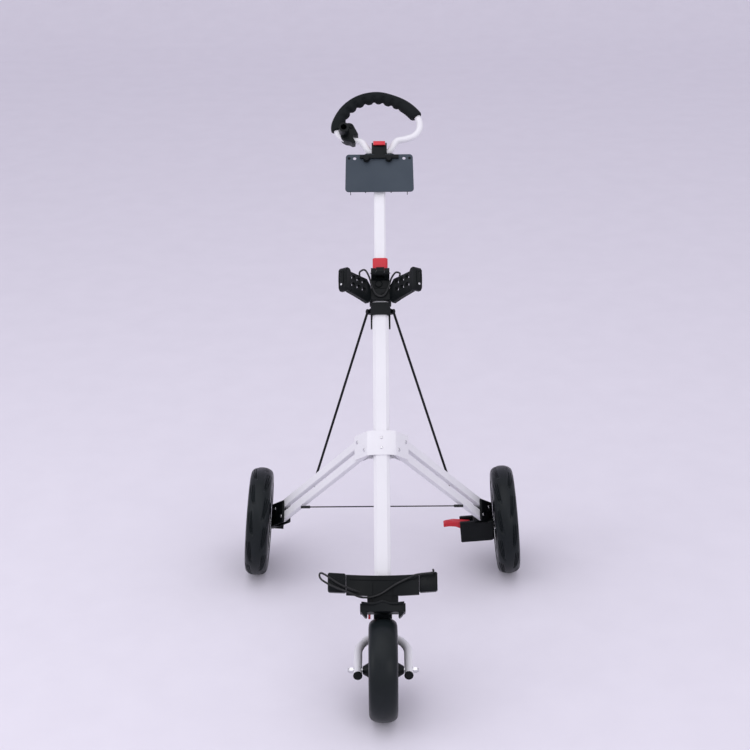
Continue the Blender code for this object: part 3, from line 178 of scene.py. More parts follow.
def finish_piece(piece, body, slot, stands_for=()):
    """Give a piece its finish, hang it on its body's empty and hide the imported parts that it stands for."""
    piece.data.materials.clear()
    piece.data.materials.append(FINISH[slot])
    if stands_for:
        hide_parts(*stands_for)
    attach(piece, body)
    return piece


def new_piece(name, points, faces, wrap=None):
    """A smooth mesh object whose faces point out, with an optional UV place for each corner."""
    a, b, c = points[faces[:, 0]], points[faces[:, 1]], points[faces[:, 2]]
    d = points[faces[:, 3]]
    volume = np.einsum("ij,ij->", a, np.cross(b, c)) + np.einsum("ij,ij->", a, np.cross(c, d))
    if volume < 0:
        faces = faces[:, ::-1]
        wrap = None if wrap is None else wrap[:, ::-1]
    mesh = bpy.data.meshes.new(name)
    mesh.vertices.add(len(points))
    mesh.vertices.foreach_set("co", points.astype(np.float32).ravel())
    mesh.loops.add(faces.size)
    mesh.loops.foreach_set("vertex_index", faces.astype(np.int32).ravel())
    mesh.polygons.add(len(faces))
    mesh.polygons.foreach_set("loop_start", np.arange(0, faces.size, 4, dtype=np.int32))
    if wrap is not None:
        mesh.uv_layers.new(name="UVMap").data.foreach_set("uv", wrap.astype(np.float32).ravel())
    mesh.update(calc_edges=True)
    mesh.validate()
    mesh.shade_smooth()
    mesh.set_sharp_from_angle(angle=CREASE)
    piece = bpy.data.objects.new(name, mesh)
    bpy.context.scene.collection.objects.link(piece)
    return piece


def ways_along(path, reference):
    """Directions along a path and square to it: the reference with its part along the path taken
    away, and the cross product of the two."""
    along = unit(np.gradient(path, axis=0))
    side = unit(reference - (along @ reference)[:, None] * along)
    return along, side, np.cross(along, side)


def bar(name, path, radius, sides, reference):
    """A section carried along a path: centre + radius (cos a side + sin a over), where the radius
    may change along the path and round it. Each end shrinks to its centre, which closes it."""
    path = np.asarray(path, float)
    along, side, over = ways_along(path, np.asarray(reference, float))
    a = np.linspace(0, 2 * math.pi, sides, endpoint=False)
    radius = np.broadcast_to(np.asarray(radius, float).reshape(-1, 1) if np.ndim(radius) < 2 else radius,
                             (len(path), sides))
    rim = (np.cos(a)[None, :, None] * side[:, None] + np.sin(a)[None, :, None] * over[:, None])
    grid = path[:, None] + radius[..., None] * rim
    shrink = 0.02
    first = path[0] + shrink * (grid[0] - path[0])
    last = path[-1] + shrink * (grid[-1] - path[-1])
    grid = np.concatenate((first[None], grid, last[None]))
    faces, place = quads(len(grid), sides, False, True)
    run = np.concatenate(((0,), np.cumsum(np.linalg.norm(np.diff(path, axis=0), axis=1))))
    run = np.concatenate(((run[0],), run, (run[-1],)))
    wrap = np.stack((run[place[..., 0]], place[..., 1] / sides), -1)
    points = grid.reshape(-1, 3)
    caps = [np.arange(sides)[::-1], np.arange(sides) + len(points) - sides]
    piece = new_piece(name, points, faces, wrap)
    bm = bmesh.new()
    bm.from_mesh(piece.data)
    bm.verts.ensure_lookup_table()
    for cap in caps:
        bm.faces.new([bm.verts[i] for i in cap])
    bmesh.ops.recalc_face_normals(bm, faces=bm.faces)
    bm.to_mesh(piece.data)
    bm.free()
    return piece


def turned(name, centre, axle, profile, steps, dent=None):
    """A closed profile of (radius, place along the axle) turned about an axle: centre + place axle
    + radius (cos a first + sin a second). A dent takes (angle, profile point) off the radius."""
    profile = np.asarray(profile, float)
    axle = unit(axle)
    level = UP if abs(UP @ axle) < 0.9 else ACROSS
    first = unit(level - (level @ axle) * axle)
    second = np.cross(axle, first)
    a = np.linspace(0, 2 * math.pi, steps, endpoint=False)[:, None, None]
    radius = np.broadcast_to(profile[None, :, :1], (steps, len(profile), 1)).copy()
    if dent is not None:
        radius[..., 0] -= dent
    grid = centre + profile[None, :, 1:] * axle + radius * (np.cos(a) * first + np.sin(a) * second)
    faces, _ = quads(steps, len(profile), True, True)
    return new_piece(name, grid.reshape(-1, 3), faces)


def merged(name, pieces):
    """Several small pieces as one object."""
    bm = bmesh.new()
    for piece in pieces:
        bm.from_mesh(piece.data)
        bpy.data.objects.remove(piece, do_unlink=True)
    mesh = bpy.data.meshes.new(name)
    bm.to_mesh(mesh)
    bm.free()
    mesh.shade_smooth()
    mesh.set_sharp_from_angle(angle=CREASE)
    whole = bpy.data.objects.new(name, mesh)
    bpy.context.scene.collection.objects.link(whole)
    return whole


def dome(centre, way, radius, height, core=0.0):
    """A low rivet or screw head on a flat face: over a quarter turn t the radius shrinks from the full
    one to the core's by cos t, and the height grows by sin t. Inside a core the middle is sunk."""
    t = np.linspace(0, math.pi / 2, 7)
    outer = np.stack((core + (radius - core) * np.cos(t), height * np.sin(t)), -1)
    tip, under, floor = 1e-5, -0.0002, height * 0.25
    sunk = [(core * 0.9 + tip, floor), (tip, floor)] if core else [(tip, height)]
    profile = [(tip, under), (radius, under), *outer.tolist(), *sunk]
    return turned("head", centre, way, profile, 20)


def soften(node, width):
    """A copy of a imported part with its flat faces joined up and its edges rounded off."""
    bm = bmesh.new()
    bm.from_mesh(frame["nodes"][node].data)
    bmesh.ops.remove_doubles(bm, verts=bm.verts, dist=WELD)
    bmesh.ops.dissolve_limit(bm, angle_limit=FLAT, verts=bm.verts, edges=bm.edges)
    mesh = bpy.data.meshes.new(node + "_finish")
    bm.to_mesh(mesh)
    bm.free()
    mesh.shade_smooth()
    mesh.set_sharp_from_angle(angle=SOFT_CREASE)
    piece = bpy.data.objects.new(node + "_finish", mesh)
    bpy.context.scene.collection.objects.link(piece)
    edge = piece.modifiers.new("edge", "BEVEL")
    edge.width = width
    edge.segments = 2
    edge.limit_method = "ANGLE"
    edge.angle_limit = SOFT_CREASE
    edge.harden_normals = True
    return finish_piece(piece, BODY_OF[node], SLOTS[node], (node,))


# ---------------------------------------------------------------- finishes
CLOUD_SCALE, SMEAR_SCALE = 9.0, 38.0      # broad colour clouds and finer smears of gloss
STRANDS_ROUND = 8                         # half turns of phase that a strand makes round a cord


def finish(name, metallic=0.0, **sockets):
    """A Principled material and the tools to add nodes to it."""
    mat = bpy.data.materials.new(name)
    mat.use_nodes = True
    tree = mat.node_tree
    shader = tree.nodes["Principled BSDF"]
    shader.inputs["Metallic"].default_value = metallic
    for socket, value in sockets.items():
        shader.inputs[socket.replace("_", " ")].default_value = value
    return mat, tree, shader


def add(tree, kind, inputs=None, **settings):
    """A node with its settings, whose inputs are numbers or other nodes' outputs."""
    node = tree.nodes.new(kind)
    for key, value in settings.items():
        setattr(node, key, value)
    for key, value in (inputs or {}).items():
        if isinstance(value, bpy.types.NodeSocket):
            tree.links.new(value, node.inputs[key])
        else:
            node.inputs[key].default_value = value
    return node


def place_on_object(tree, stretch):
    """A place on the piece itself, so that a finish moves with it."""
    coords = add(tree, "ShaderNodeTexCoord")
    scaled = add(tree, "ShaderNodeMapping", {"Vector": coords.outputs["Object"], "Scale": stretch})
    return scaled.outputs["Vector"]


def noise(tree, where, scale, detail):
    """Smooth random values from 0 to 1 over space."""
    inputs = {"Vector": where, "Scale": scale, "Detail": detail}
    return add(tree, "ShaderNodeTexNoise", inputs).outputs["Fac"]


def reckon(tree, operation, *values):
    """The outcome of one sum on numbers or other nodes' outputs."""
    return add(tree, "ShaderNodeMath", dict(enumerate(values)), operation=operation).outputs[0]


def spread(tree, value, low, high, from_low=0.3, from_high=0.7):
    """A noise value moved to lie between two numbers."""
    return add(tree, "ShaderNodeMapRange", {"Value": value, "From Min": from_low, "From Max": from_high,
                                            "To Min": low, "To Max": high}).outputs["Result"]


def shades(tree, value, dark, light):
    """A colour between two, chosen by a value from 0 to 1."""
    ramp = add(tree, "ShaderNodeValToRGB", {"Fac": value})
    ramp.color_ramp.elements[0].position = 0.3
    ramp.color_ramp.elements[1].position = 0.7
    ramp.color_ramp.elements[0].color = (*dark, 1.0)
    ramp.color_ramp.elements[1].color = (*light, 1.0)
    return ramp.outputs["Color"]


def raised(tree, shader, height, distance):
    """Relief on a surface, as high as the distance where the height value is 1."""
    bump = add(tree, "ShaderNodeBump", {"Height": height, "Distance": distance, "Strength": 1.0})
    tree.links.new(bump.outputs["Normal"], shader.inputs["Normal"])


def worn(name, dark, light, rough, grain, depth, metallic=0.0, stretch=(1.0, 1.0, 1.0), cells=False,
         **sockets):
    """A finish with cloudy colour, uneven gloss and a fine raised grain."""
    mat, tree, shader = finish(name, metallic, **sockets)
    where = place_on_object(tree, stretch)
    clouds = noise(tree, where, CLOUD_SCALE, 4.0)
    tree.links.new(shades(tree, clouds, dark, light), shader.inputs["Base Color"])
    smears = noise(tree, where, SMEAR_SCALE, 5.0)
    tree.links.new(spread(tree, smears, *rough), shader.inputs["Roughness"])
    if cells:
        height = add(tree, "ShaderNodeTexVoronoi", {"Vector": where, "Scale": grain}).outputs["Distance"]
    else:
        height = noise(tree, where, grain, 3.0)
    raised(tree, shader, height, depth)
    return mat


def braid(name, dark, light, pitch):
    """A woven cord: two sets of strands that cross, one leaning each way round the cord. Its colour holds painted
    shade: darker in the hollows between strands, lighter on their tops.
    """
    mat, tree, shader = finish(name)
    coords = add(tree, "ShaderNodeTexCoord").outputs["UV"]
    split = add(tree, "ShaderNodeSeparateXYZ", {"Vector": coords})
    strands = []
    for lean in (1.0, -1.0):
        along = reckon(tree, "MULTIPLY", split.outputs["X"], 2 * math.pi / pitch)
        around = reckon(tree, "MULTIPLY", split.outputs["Y"], lean * STRANDS_ROUND * math.pi)
        strands.append(reckon(tree, "SINE", reckon(tree, "ADD", along, around)))
    top = reckon(tree, "MAXIMUM", *strands)
    height = spread(tree, top, 0.0, 1.0, -1.0, 1.0)
    # painted shade: the colour follows the weave's height, dark in the hollows between strands
    tree.links.new(shades(tree, height, dark, light), shader.inputs["Base Color"])
    tree.links.new(spread(tree, height, 0.85, 0.60, 0.0, 1.0), shader.inputs["Roughness"])
    raised(tree, shader, height, 0.0003)
    return mat


FINISH = {
    "white_paint": worn("white powder coat", (0.74, 0.735, 0.77), (0.78, 0.775, 0.81), (0.34, 0.46), 700.0,
                        0.00002, Specular_IOR_Level=0.30),
    "black_plastic": worn("black moulded plastic", (0.0035, 0.0048, 0.0054), (0.0070, 0.0088, 0.0098),
                          (0.30, 0.44), 2400.0, 0.00003, Specular_IOR_Level=0.13),
    "tyre_rubber": worn("tyre skin", (0.0060, 0.0085, 0.0098), (0.0105, 0.0140, 0.0160), (0.30, 0.42), 900.0,
                        0.00004, Specular_IOR_Level=0.17),
    "grip_foam": worn("grip foam", (0.0050, 0.0066, 0.0076), (0.0095, 0.0120, 0.0135), (0.60, 0.80), 1100.0,
                      0.00010, cells=True, Specular_IOR_Level=0.13),
    "red_plastic": worn("red moulded plastic", (0.52, 0.022, 0.035), (0.62, 0.036, 0.052), (0.28, 0.42),
                        1800.0, 0.00002, Specular_IOR_Level=0.30),
    "slate_plastic": worn("slate panel", (0.041, 0.054, 0.070), (0.053, 0.068, 0.086), (0.40, 0.52),
                          2600.0, 0.00003, Specular_IOR_Level=0.14),
    "bright_steel": worn("bright steel", (0.55, 0.55, 0.57), (0.70, 0.70, 0.72), (0.12, 0.24), 400.0,
                         0.00001, metallic=1.0, stretch=(1.0, 6.0, 6.0)),
    # the cord's dark colour is painted shade in the hollows of the weave, the light one its strand tops
    "black_cord": braid("elastic cord sleeve", (0.003, 0.0035, 0.004), (0.016, 0.017, 0.018), 0.004),
    "black_rod": worn("black coated rod", (0.005, 0.006, 0.007), (0.010, 0.012, 0.014), (0.34, 0.48), 800.0,
                      0.00002, Specular_IOR_Level=0.14),
}

# ---------------------------------------------------------------- wheels
LEAVES = 11                       # leaf marks round each shoulder
LEAF_DEPTH = 0.0026
LEAF_TIP, LEAF_GROOVE = 0.30, 0.034       # the tip's place and a groove's half width, of half a tyre
LEAF_LENGTH = 0.86                # share of its pitch that a leaf takes up
LEAF_LINES = ((0.26, 0.70), (0.42, 0.55), (0.58, 0.45))     # how far each groove opens, and its bend
STUDS = 26                        # small studs round each rim
STUD_RING, STUD = 0.0965, (0.0014, 0.0012)      # the studs' circle, and their radius and height
LINE_INSET, LINE_RADIUS = 0.0012, 0.0009        # the bright line below the tyre's seat
MOULD_DEPTH, MOULD_WIDTH = 0.0005, 0.0007       # the front tyre's mould line


def tyre_section(radius, width, seat, steps):
    """Across the tread the radius is seat + (radius - seat) sin(t)^0.42 at half width cos(t), with t
    from one wall to the other, and the section closes along the rim's seat."""
    t = np.linspace(0, math.pi, steps)
    r = seat + (radius - seat) * np.clip(np.sin(t), 0, 1) ** 0.42
    return np.stack((r, width / 2 * np.cos(t)), -1)


def leaf_marks(section, width, turns):
    """Depth of the marks pressed into both shoulders. In each of the leaf's pitches, three grooves
    leave one tip near the crown and open out towards the wall, each a smooth dip across it."""
    u = np.linspace(0, 1, turns, endpoint=False)[:, None]
    across = section[None, :, 1] / (width / 2)
    pitch = np.mod(u * LEAVES + np.where(across > 0, 0.0, 0.5), 1.0)
    rise = np.clip(1 - pitch / LEAF_LENGTH, 0, 1)
    fade = np.clip(pitch / 0.10, 0, 1) * np.clip((LEAF_LENGTH - pitch) / 0.05, 0, 1)
    depth = np.zeros_like(pitch)
    for spread_out, bend in LEAF_LINES:
        line = LEAF_TIP + spread_out * rise ** bend
        depth = depth + np.exp(-((np.abs(across) - line) / LEAF_GROOVE) ** 2)
    return LEAF_DEPTH * fade * np.clip(depth, 0, 1)


def rear_tyre(word):
    """The rear tyre's section turned about its axle, less the depth of the leaf marks."""
    turns = 384
    section = tyre_section(REAR_RADIUS, REAR_WIDTH, REAR_SEAT, 84)
    piece = turned("rear_tread_" + word, spot("wheel_spin_" + word), axis("wheel_spin_" + word), section,
                   turns, leaf_marks(section, REAR_WIDTH, turns))
    finish_piece(piece, "wheel_" + word, "tyre_rubber", ("rear_tyre_" + word,))


def rim_trim(word):
    """A thin bright line round each lip of a rim, a circle turned about the axle, and a ring of
    small domed studs inside it."""
    centre, axle = spot("wheel_spin_" + word), axis("wheel_spin_" + word)
    a = np.linspace(0, 2 * math.pi, 12, endpoint=False)
    first = unit(UP - (UP @ axle) * axle)
    second = np.cross(axle, first)
    pieces = []
    for face in (1.0, -1.0):
        line = np.stack((REAR_SEAT - LINE_INSET + LINE_RADIUS * np.cos(a),
                         face * RIM_HALF + LINE_RADIUS * np.sin(a)), -1)
        pieces.append(turned("line", centre, axle, line, 128))
        for turn in np.linspace(0, 2 * math.pi, STUDS, endpoint=False):
            way = math.cos(turn) * first + math.sin(turn) * second
            pieces.append(dome(centre + face * RIM_HALF * axle + STUD_RING * way, face * axle, *STUD))
    finish_piece(merged("rim_trim_" + word, pieces), "wheel_" + word, "bright_steel")


def front_tyre():
    """A plain tread with a shallow mould line round its crown, a dip of depth exp(-(place / width)^2)."""
    turns = 256
    section = tyre_section(FRONT_RADIUS, FRONT_WIDTH, FRONT_SEAT, 72)
    line = MOULD_DEPTH * np.exp(-(section[None, :, 1] / MOULD_WIDTH) ** 2) * np.ones((turns, 1))
    piece = turned("front_tread", spot("front_wheel_spin"), ACROSS, section, turns, line)
    finish_piece(piece, "front_wheel", "tyre_rubber", ("front_tyre",))


for word, _ in SIDES:
    rear_tyre(word)
    rim_trim(word)
front_tyre()

# ---------------------------------------------------------------- handle
LOOP_LINE = [(0.004, 0.0), (0.018, 0.0), (0.028, 0.007), (0.043, 0.030), (0.066, 0.036), (0.090, 0.047),
             (0.1005, 0.069), (0.094, 0.094), (0.068, 0.121), (0.036, 0.138), (-0.004, 0.148),
             (-0.046, 0.140), (-0.080, 0.116), (-0.101, 0.082), (-0.1035, 0.058), (-0.090, 0.040),
             (-0.066, 0.033), (-0.043, 0.028), (-0.028, 0.007), (-0.018, 0.0), (-0.004, 0.0)]
GRIP_FROM, GRIP_TO = 7, 14        # the points of LOOP_LINE that the grip lies between
FINGERS = 8
SCOOPS_FROM, SCOOPS_TO, SCOOPS_RUN = 0.16, 0.84, 0.68       # shares of the grip's length
SCOOP_DEPTH, GRIP_FULLER, GRIP_LIP = 0.0046, 0.0030, 0.0022


def loop_route(steps):
    """The handle loop's middle line, a smooth curve through LOOP_LINE in the tube's own frame."""
    return smooth(on_tube([(x, 0.0, LOOP_STATION + z) for x, z in LOOP_LINE]), steps)


def handle_loop():
    """The loop's tube, a round section carried along its route."""
    piece = bar("loop_tube", loop_route(10), LOOP_RADIUS, 32, OFF_TUBE)
    finish_piece(piece, "handle", "white_paint", ("handle_loop",))


def grip():
    """Foam sleeve: a round section, fuller by cos(angle) towards the inside of the loop. On that side
    rounded pads stand between scoops, (0.5 - 0.5 cos t)^2 deep over each finger's pitch t. Both ends
    are drawn in by exp(-distance)."""
    steps, sides = 24, 48
    path = loop_route(steps)[GRIP_FROM * steps:GRIP_TO * steps + 1]
    t = np.linspace(0, 1, len(path))[:, None]
    a = np.linspace(0, 2 * math.pi, sides, endpoint=False)[None, :]
    middle = on_tube([(0.0, 0.0, LOOP_STATION + 0.07)])[0]
    _, way, over = ways_along(path, OFF_TUBE)
    inward = unit(middle - path)
    facing = (np.cos(a) * (way * inward).sum(1)[:, None] + np.sin(a) * (over * inward).sum(1)[:, None])
    zone = np.clip((t - SCOOPS_FROM) / 0.08, 0, 1) * np.clip((SCOOPS_TO - t) / 0.08, 0, 1)
    wave = (0.5 - 0.5 * np.cos(2 * math.pi * FINGERS * (t - SCOOPS_FROM) / SCOOPS_RUN)) ** 2
    scoop = SCOOP_DEPTH * wave * zone * np.clip((facing + 0.05) / 0.25, 0, 1)
    scoop = (scoop - GRIP_FULLER * np.clip(facing, 0, 1) * np.clip(t / 0.03, 0, 1)
             * np.clip((1 - t) / 0.03, 0, 1))
    lip = GRIP_LIP * (np.exp(-t / 0.006) + np.exp(-(1 - t) / 0.006))
    piece = bar("grip_sleeve", path, GRIP_RADIUS - scoop - lip, sides, OFF_TUBE)
    finish_piece(piece, "handle", "grip_foam", ("grip",))


handle_loop()
grip()

# ---------------------------------------------------------------- fork and braces
FORK_DEPTH = spot("fork_fold")[1] - spot("front_wheel_spin")[1]
STRUT_SHARE = 0.61                # how far along the upper bar a brace rod ends
ROD_RADIUS = 0.003


def fork():
    """The fork's tube: two straight arms joined by half an ellipse behind the tyre."""
    a = np.linspace(math.pi, 0, 49)
    deep = FORK_DEPTH - FORK_STRAIGHT
    bend = np.stack((FORK_HALF * np.cos(a), FORK_STRAIGHT + deep * np.sin(a), 0 * a), -1)
    arm = np.linspace(FORK_FRONT, FORK_STRAIGHT, 9)[:-1]
    right = np.stack((-FORK_HALF + 0 * arm, arm, 0 * arm), -1)
    route = np.vstack((right, bend, right[::-1] * (-1, 1, 1))) + spot("front_wheel_spin")
    piece = bar("fork_bow", route, FORK_RADIUS, 32, UP)
    finish_piece(piece, "fork", "white_paint", ("fork_tube",))


def strut(word):
    """A brace rod, a round bar of one radius that runs straight from its top pin to a place beside the
    upper bar, in a plane parallel to the leg's."""
    side = dict(SIDES)[word]
    top = spot("strut_swing_" + word)
    _, front = leg_ways(word)
    ear, end = spot("leg_fold" + ("" if side > 0 else "_left")), spot("carrier_swing_" + word)
    foot = ear + STRUT_SHARE * (end - ear)
    foot = foot - ((foot - top) @ front) * front
    path = top + np.linspace(0, 1, 40)[:, None] * (foot - top)
    finish_piece(bar("brace_rod_" + word, path, ROD_RADIUS, 20, front), "strut_" + word, "black_rod")


fork()
for word, _ in SIDES:
    soften("strut_" + word, 0.0004)
    strut(word)

# ---------------------------------------------------------------- cords
LOWER_CORD = [(-0.052, -0.044, 0.018), (-0.072, -0.062, 0.023), (-0.100, -0.076, 0.034),
              (-0.128, -0.085, 0.052), (-0.139, -0.084, 0.055), (-0.138, -0.082, 0.044),
              (-0.118, -0.083, 0.030), (-0.076, -0.070, 0.014), (-0.045, -0.046, 0.006),
              (-0.010, -0.039, 0.012), (0.030, -0.041, 0.036), (0.058, -0.050, 0.048),
              (0.074, -0.066, 0.053), (0.094, -0.0745, 0.0545), (0.112, -0.0815, 0.0560),
              (0.113, -0.0740, 0.0628), (0.113, -0.0660, 0.0630)]
UPPER_CORD = [(-0.049, -0.0560, 0.7640), (-0.048, -0.0510, 0.7760), (-0.036, -0.0460, 0.7820),
              (-0.026, -0.0430, 0.7650), (-0.020, -0.0390, 0.7440), (-0.011, -0.0355, 0.7260),
              (0.000, -0.0345, 0.7210), (0.011, -0.0355, 0.7250), (0.020, -0.0390, 0.7420),
              (0.026, -0.0430, 0.7610), (0.036, -0.0460, 0.7750), (0.046, -0.0510, 0.7720),
              (0.046, -0.0560, 0.7635)]
CORD_RADIUS, CORD_SIDE = 0.0022, (0.25, 0.9, 0.35)     # and a direction that no stretch runs along
for name, node, points in (("lower_elastic", "lower_bungee", LOWER_CORD),
                           ("upper_elastic", "upper_bungee", UPPER_CORD)):
    cord = bar(name, smooth(on_tube(points), 10), CORD_RADIUS, 14, CORD_SIDE)
    finish_piece(cord, "main_frame", "black_cord", (node,))

# ---------------------------------------------------------------- the other parts, softened
ROUNDING = {
    "lower_tube": 0.0015, "upper_tube": 0.0010, "upper_arm_right": 0.0006, "upper_arm_left": 0.0006,
    "lower_arm_right": 0.0006, "lower_arm_left": 0.0006, "leg_bracket_front": 0.0005,
    "leg_bracket_rear": 0.0005, "wheel_bracket_right": 0.0010, "wheel_bracket_left": 0.0010,
    "brake_housing": 0.0008, "brake_pedal": 0.0010, "lower_cradle": 0.0012, "cradle_block_right": 0.0010,
    "cradle_block_left": 0.0010, "bag_ledge": 0.0012, "bracket_hub": 0.0012, "bracket_arm_right": 0.0007,
    "bracket_arm_left": 0.0007, "arm_pad_right": 0.0012, "arm_pad_left": 0.0012, "hinge_base": 0.0010,
    "hinge_head": 0.0010, "fold_latch": 0.0012, "clamp_body": 0.0012, "clamp_lever": 0.0009,
    "umbrella_socket": 0.0006, "panel_bar": 0.0008, "scorecard_panel": 0.0006,
    "strut_collar": 0.0008, "frame_foot": 0.0012, "fork_yoke": 0.0010, "fork_release": 0.0008,
    "fork_cap_right": 0.0008, "fork_cap_left": 0.0008, "front_axle": 0.0004, "front_rim": 0.0008,
    "rear_rim_right": 0.0008, "rear_rim_left": 0.0008,
}
for node, width in ROUNDING.items():
    soften(node, width)
for node, obj in frame["nodes"].items():
    if not obj.hide_render:
        obj.data.materials.clear()
        obj.data.materials.append(FINISH[SLOTS[node]])

# ---------------------------------------------------------------- rivets and screws
EAR_HEAD, CARRIER_HEAD = (0.0048, 0.0022), (0.0046, 0.0022)      # radius and height
for word, side in SIDES:
    _, front = leg_ways(word)
    ear = spot("leg_fold" + ("" if side > 0 else "_left"))
    low_ear = spot("lower_arm_fold_" + word)
    heads = [dome(place + EAR_FACE * front, front, *EAR_HEAD) for place in (ear, low_ear)]
    finish_piece(merged("ear_rivets_" + word, heads), "main_frame", "bright_steel")
    end = spot("carrier_swing_" + word)
    heads = [dome(place + CARRIER_FACE * front, front, *CARRIER_HEAD)
             for place in (end, end + low_ear - ear)]
    finish_piece(merged("carrier_rivets_" + word, heads), "carrier_" + word, "bright_steel")


def upright(name, side, along, out, low, high, radius):
    """A rounded rib up a bracket pad: a bar whose radius is radius (sin t)^0.25, where t runs from 0 to
    pi and sin t is taken as no less than 0.02."""
    t = np.linspace(0.0, math.pi, 25)
    ups = np.linspace(low, high, 25)
    path = np.array([on_arm(side, along, out, up) for up in ups])
    girth = radius * np.clip(np.sin(t), 0.02, 1.0) ** 0.25
    return bar(name, path, girth, 20, ACROSS)


RIB_IN, RIB_HALF, RIB_RADIUS = 0.0015, 0.0215, 0.0052       # the pads' middle rib
WEB_IN, WEB_HALF, WEB_RADIUS, WEB_OUT = 0.0008, 0.019, 0.0022, 0.0085     # and the two beside it
PAD_HEAD_OUT, PAD_HEAD = 0.0034, (0.0028, 0.0012, 0.0010)
for word, side in SIDES:
    ribs = [upright("rib", side, PAD_END - RIB_IN, 0.0, -RIB_HALF, RIB_HALF, RIB_RADIUS)]
    for web_out in (WEB_OUT, -WEB_OUT):
        ribs.append(upright("web", side, PAD_END - WEB_IN, web_out, -WEB_HALF, WEB_HALF, WEB_RADIUS))
    finish_piece(merged("pad_ribs_" + word, ribs), "main_frame", "black_plastic")
    way = unit(on_arm(side, 1.0, 0.0, 0.0) - on_arm(side, 0.0, 0.0, 0.0))
    heads = [dome(on_arm(side, PAD_END + PAD_HEAD_OUT, 0.0, up), way, *PAD_HEAD)
             for up in (-0.0150, 0.0165)]
    finish_piece(merged("pad_screw_" + word, heads[:1]), "main_frame", "bright_steel")
    finish_piece(merged("pad_stud_" + word, heads[1:]), "main_frame", "black_plastic")


def plate(name, outline, front, back, bevel):
    """A thick plate: its outline in (across, up) is carried from front to back, and drawn in towards
    its middle by the bevel's share over the first and last tenth. Each flat face shrinks to a
    thousandth of the outline, where a small hole is left."""
    outline = np.asarray(outline, float)
    middle = outline.mean(0)
    rows = [(0.001, 0.0), (0.5, 0.0), (1 - bevel, 0.0), (1 - bevel / 3, 0.03), (1.0, 0.10), (1.0, 0.90),
            (1 - bevel / 3, 0.97), (1 - bevel, 1.0), (0.5, 1.0), (0.001, 1.0)]
    rings = []
    for size, t in rows:
        depth = np.full(len(outline), front + t * (back - front))
        rings.append(np.column_stack((middle + size * (outline - middle), depth)))
    points = on_tube(np.array(rings).reshape(-1, 3)[:, (0, 2, 1)])
    faces, _ = quads(len(rows), len(outline), False, True)
    piece = new_piece(name, points, faces)
    piece.data.set_sharp_from_angle(angle=PLATE_CREASE)
    return piece


def rounded(corners, steps=5):
    """A closed outline through the corners, each stretch cut short and joined by a smooth curve."""
    corners = np.asarray(corners, float)
    after = np.roll(corners, -1, 0)
    cut = np.stack((corners + 0.22 * (after - corners), corners + 0.78 * (after - corners)), 1).reshape(-1, 2)
    looped = np.vstack((cut[-1:], cut, cut[:2]))
    return smooth(looped, steps)[steps:-2 * steps]


# the umbrella clamp's outline: a shoulder above, a barbed lip below
CLAMP_OUTLINE = [(-0.084, 1.176), (-0.071, 1.177), (-0.064, 1.173), (-0.059, 1.163), (-0.053, 1.151),
                 (-0.051, 1.146), (-0.062, 1.145), (-0.065, 1.137), (-0.062, 1.130), (-0.057, 1.126),
                 (-0.065, 1.1235), (-0.072, 1.128), (-0.081, 1.129), (-0.091, 1.135), (-0.095, 1.143),
                 (-0.095, 1.168)]
CLAMP_HALF = 0.0155
finish_piece(plate("umbrella_clamp_body", rounded(CLAMP_OUTLINE), -CLAMP_HALF, CLAMP_HALF, 0.07), "handle",
             "black_plastic", ("umbrella_clamp",))
seat = [dome(on_tube((-0.0690, -CLAMP_HALF, 1.1655)), OFF_TUBE, 0.0052, 0.0022, 0.0030),
        dome(on_tube((-0.0800, -CLAMP_HALF, 1.1365)), OFF_TUBE, 0.0030, 0.0014, 0.0012)]
finish_piece(merged("umbrella_clamp_studs", seat), "handle", "black_plastic")

# the fold hinge's round boss and the barrel's screw
boss = [dome(front_of("hinge_base", [(-0.004, 0.7560)])[0], OFF_TUBE, 0.0098, 0.0030, 0.0070)]
finish_piece(merged("hinge_boss", boss), "main_frame", "black_plastic")
barrel = [dome(front_of("bracket_hub", [(0.006, 0.7270)])[0], OFF_TUBE, 0.0048, 0.0022, 0.0026)]
finish_piece(merged("hub_screw", barrel), "main_frame", "black_plastic")

# lower cradle: two upright ribs, a lipped top edge, and rows of shallow rings on both end blocks
ribs = []
for across in (-0.0225, 0.0225):
    line = front_of("lower_cradle", [(across, up) for up in np.linspace(-0.006, 0.047, 16)])
    ribs.append(bar("rib", line, 0.0011, 10, ACROSS))
line = front_of("lower_cradle", [(across, 0.0465) for across in np.linspace(-0.074, 0.074, 40)])
ribs.append(bar("edge", line, 0.0013, 10, UP_TUBE))
finish_piece(merged("cradle_ribs", ribs), "main_frame", "black_plastic")
for word, side in SIDES:
    holes = []
    for across in (0.090, 0.1005, 0.111):
        for up in (0.0265, 0.0450):
            place = front_of("cradle_block_" + word, [(side * across, up)])[0]
            holes.append(dome(place, OFF_TUBE, 0.0036, 0.0009, 0.0028))
    finish_piece(merged("block_holes_" + word, holes), "main_frame", "black_rod")

# bag ledge: a wavy rim with a bump in its middle, and a gusset under each end
across = np.linspace(-0.0475, 0.0475, 61)
wave = 0.0022 * np.exp(-(across / 0.010) ** 2) + 0.0012 * np.cos(2 * math.pi * across / 0.048)
rim = np.column_stack((across, np.full(61, -0.0868), -0.0128 + wave))
finish_piece(bar("ledge_rim", on_tube(rim), 0.0028, 16, UP_TUBE), "main_frame", "black_plastic")
GUSSET = ((0.0490, -0.0305), (0.0350, -0.0305), (0.0350, -0.0420), (0.0400, -0.0420))
for word, side in SIDES:
    corners = [(side * out, up) for out, up in GUSSET]
    finish_piece(plate("ledge_gusset_" + word, rounded(corners), -0.084, -0.050, 0.06), "main_frame",
                 "black_plastic")

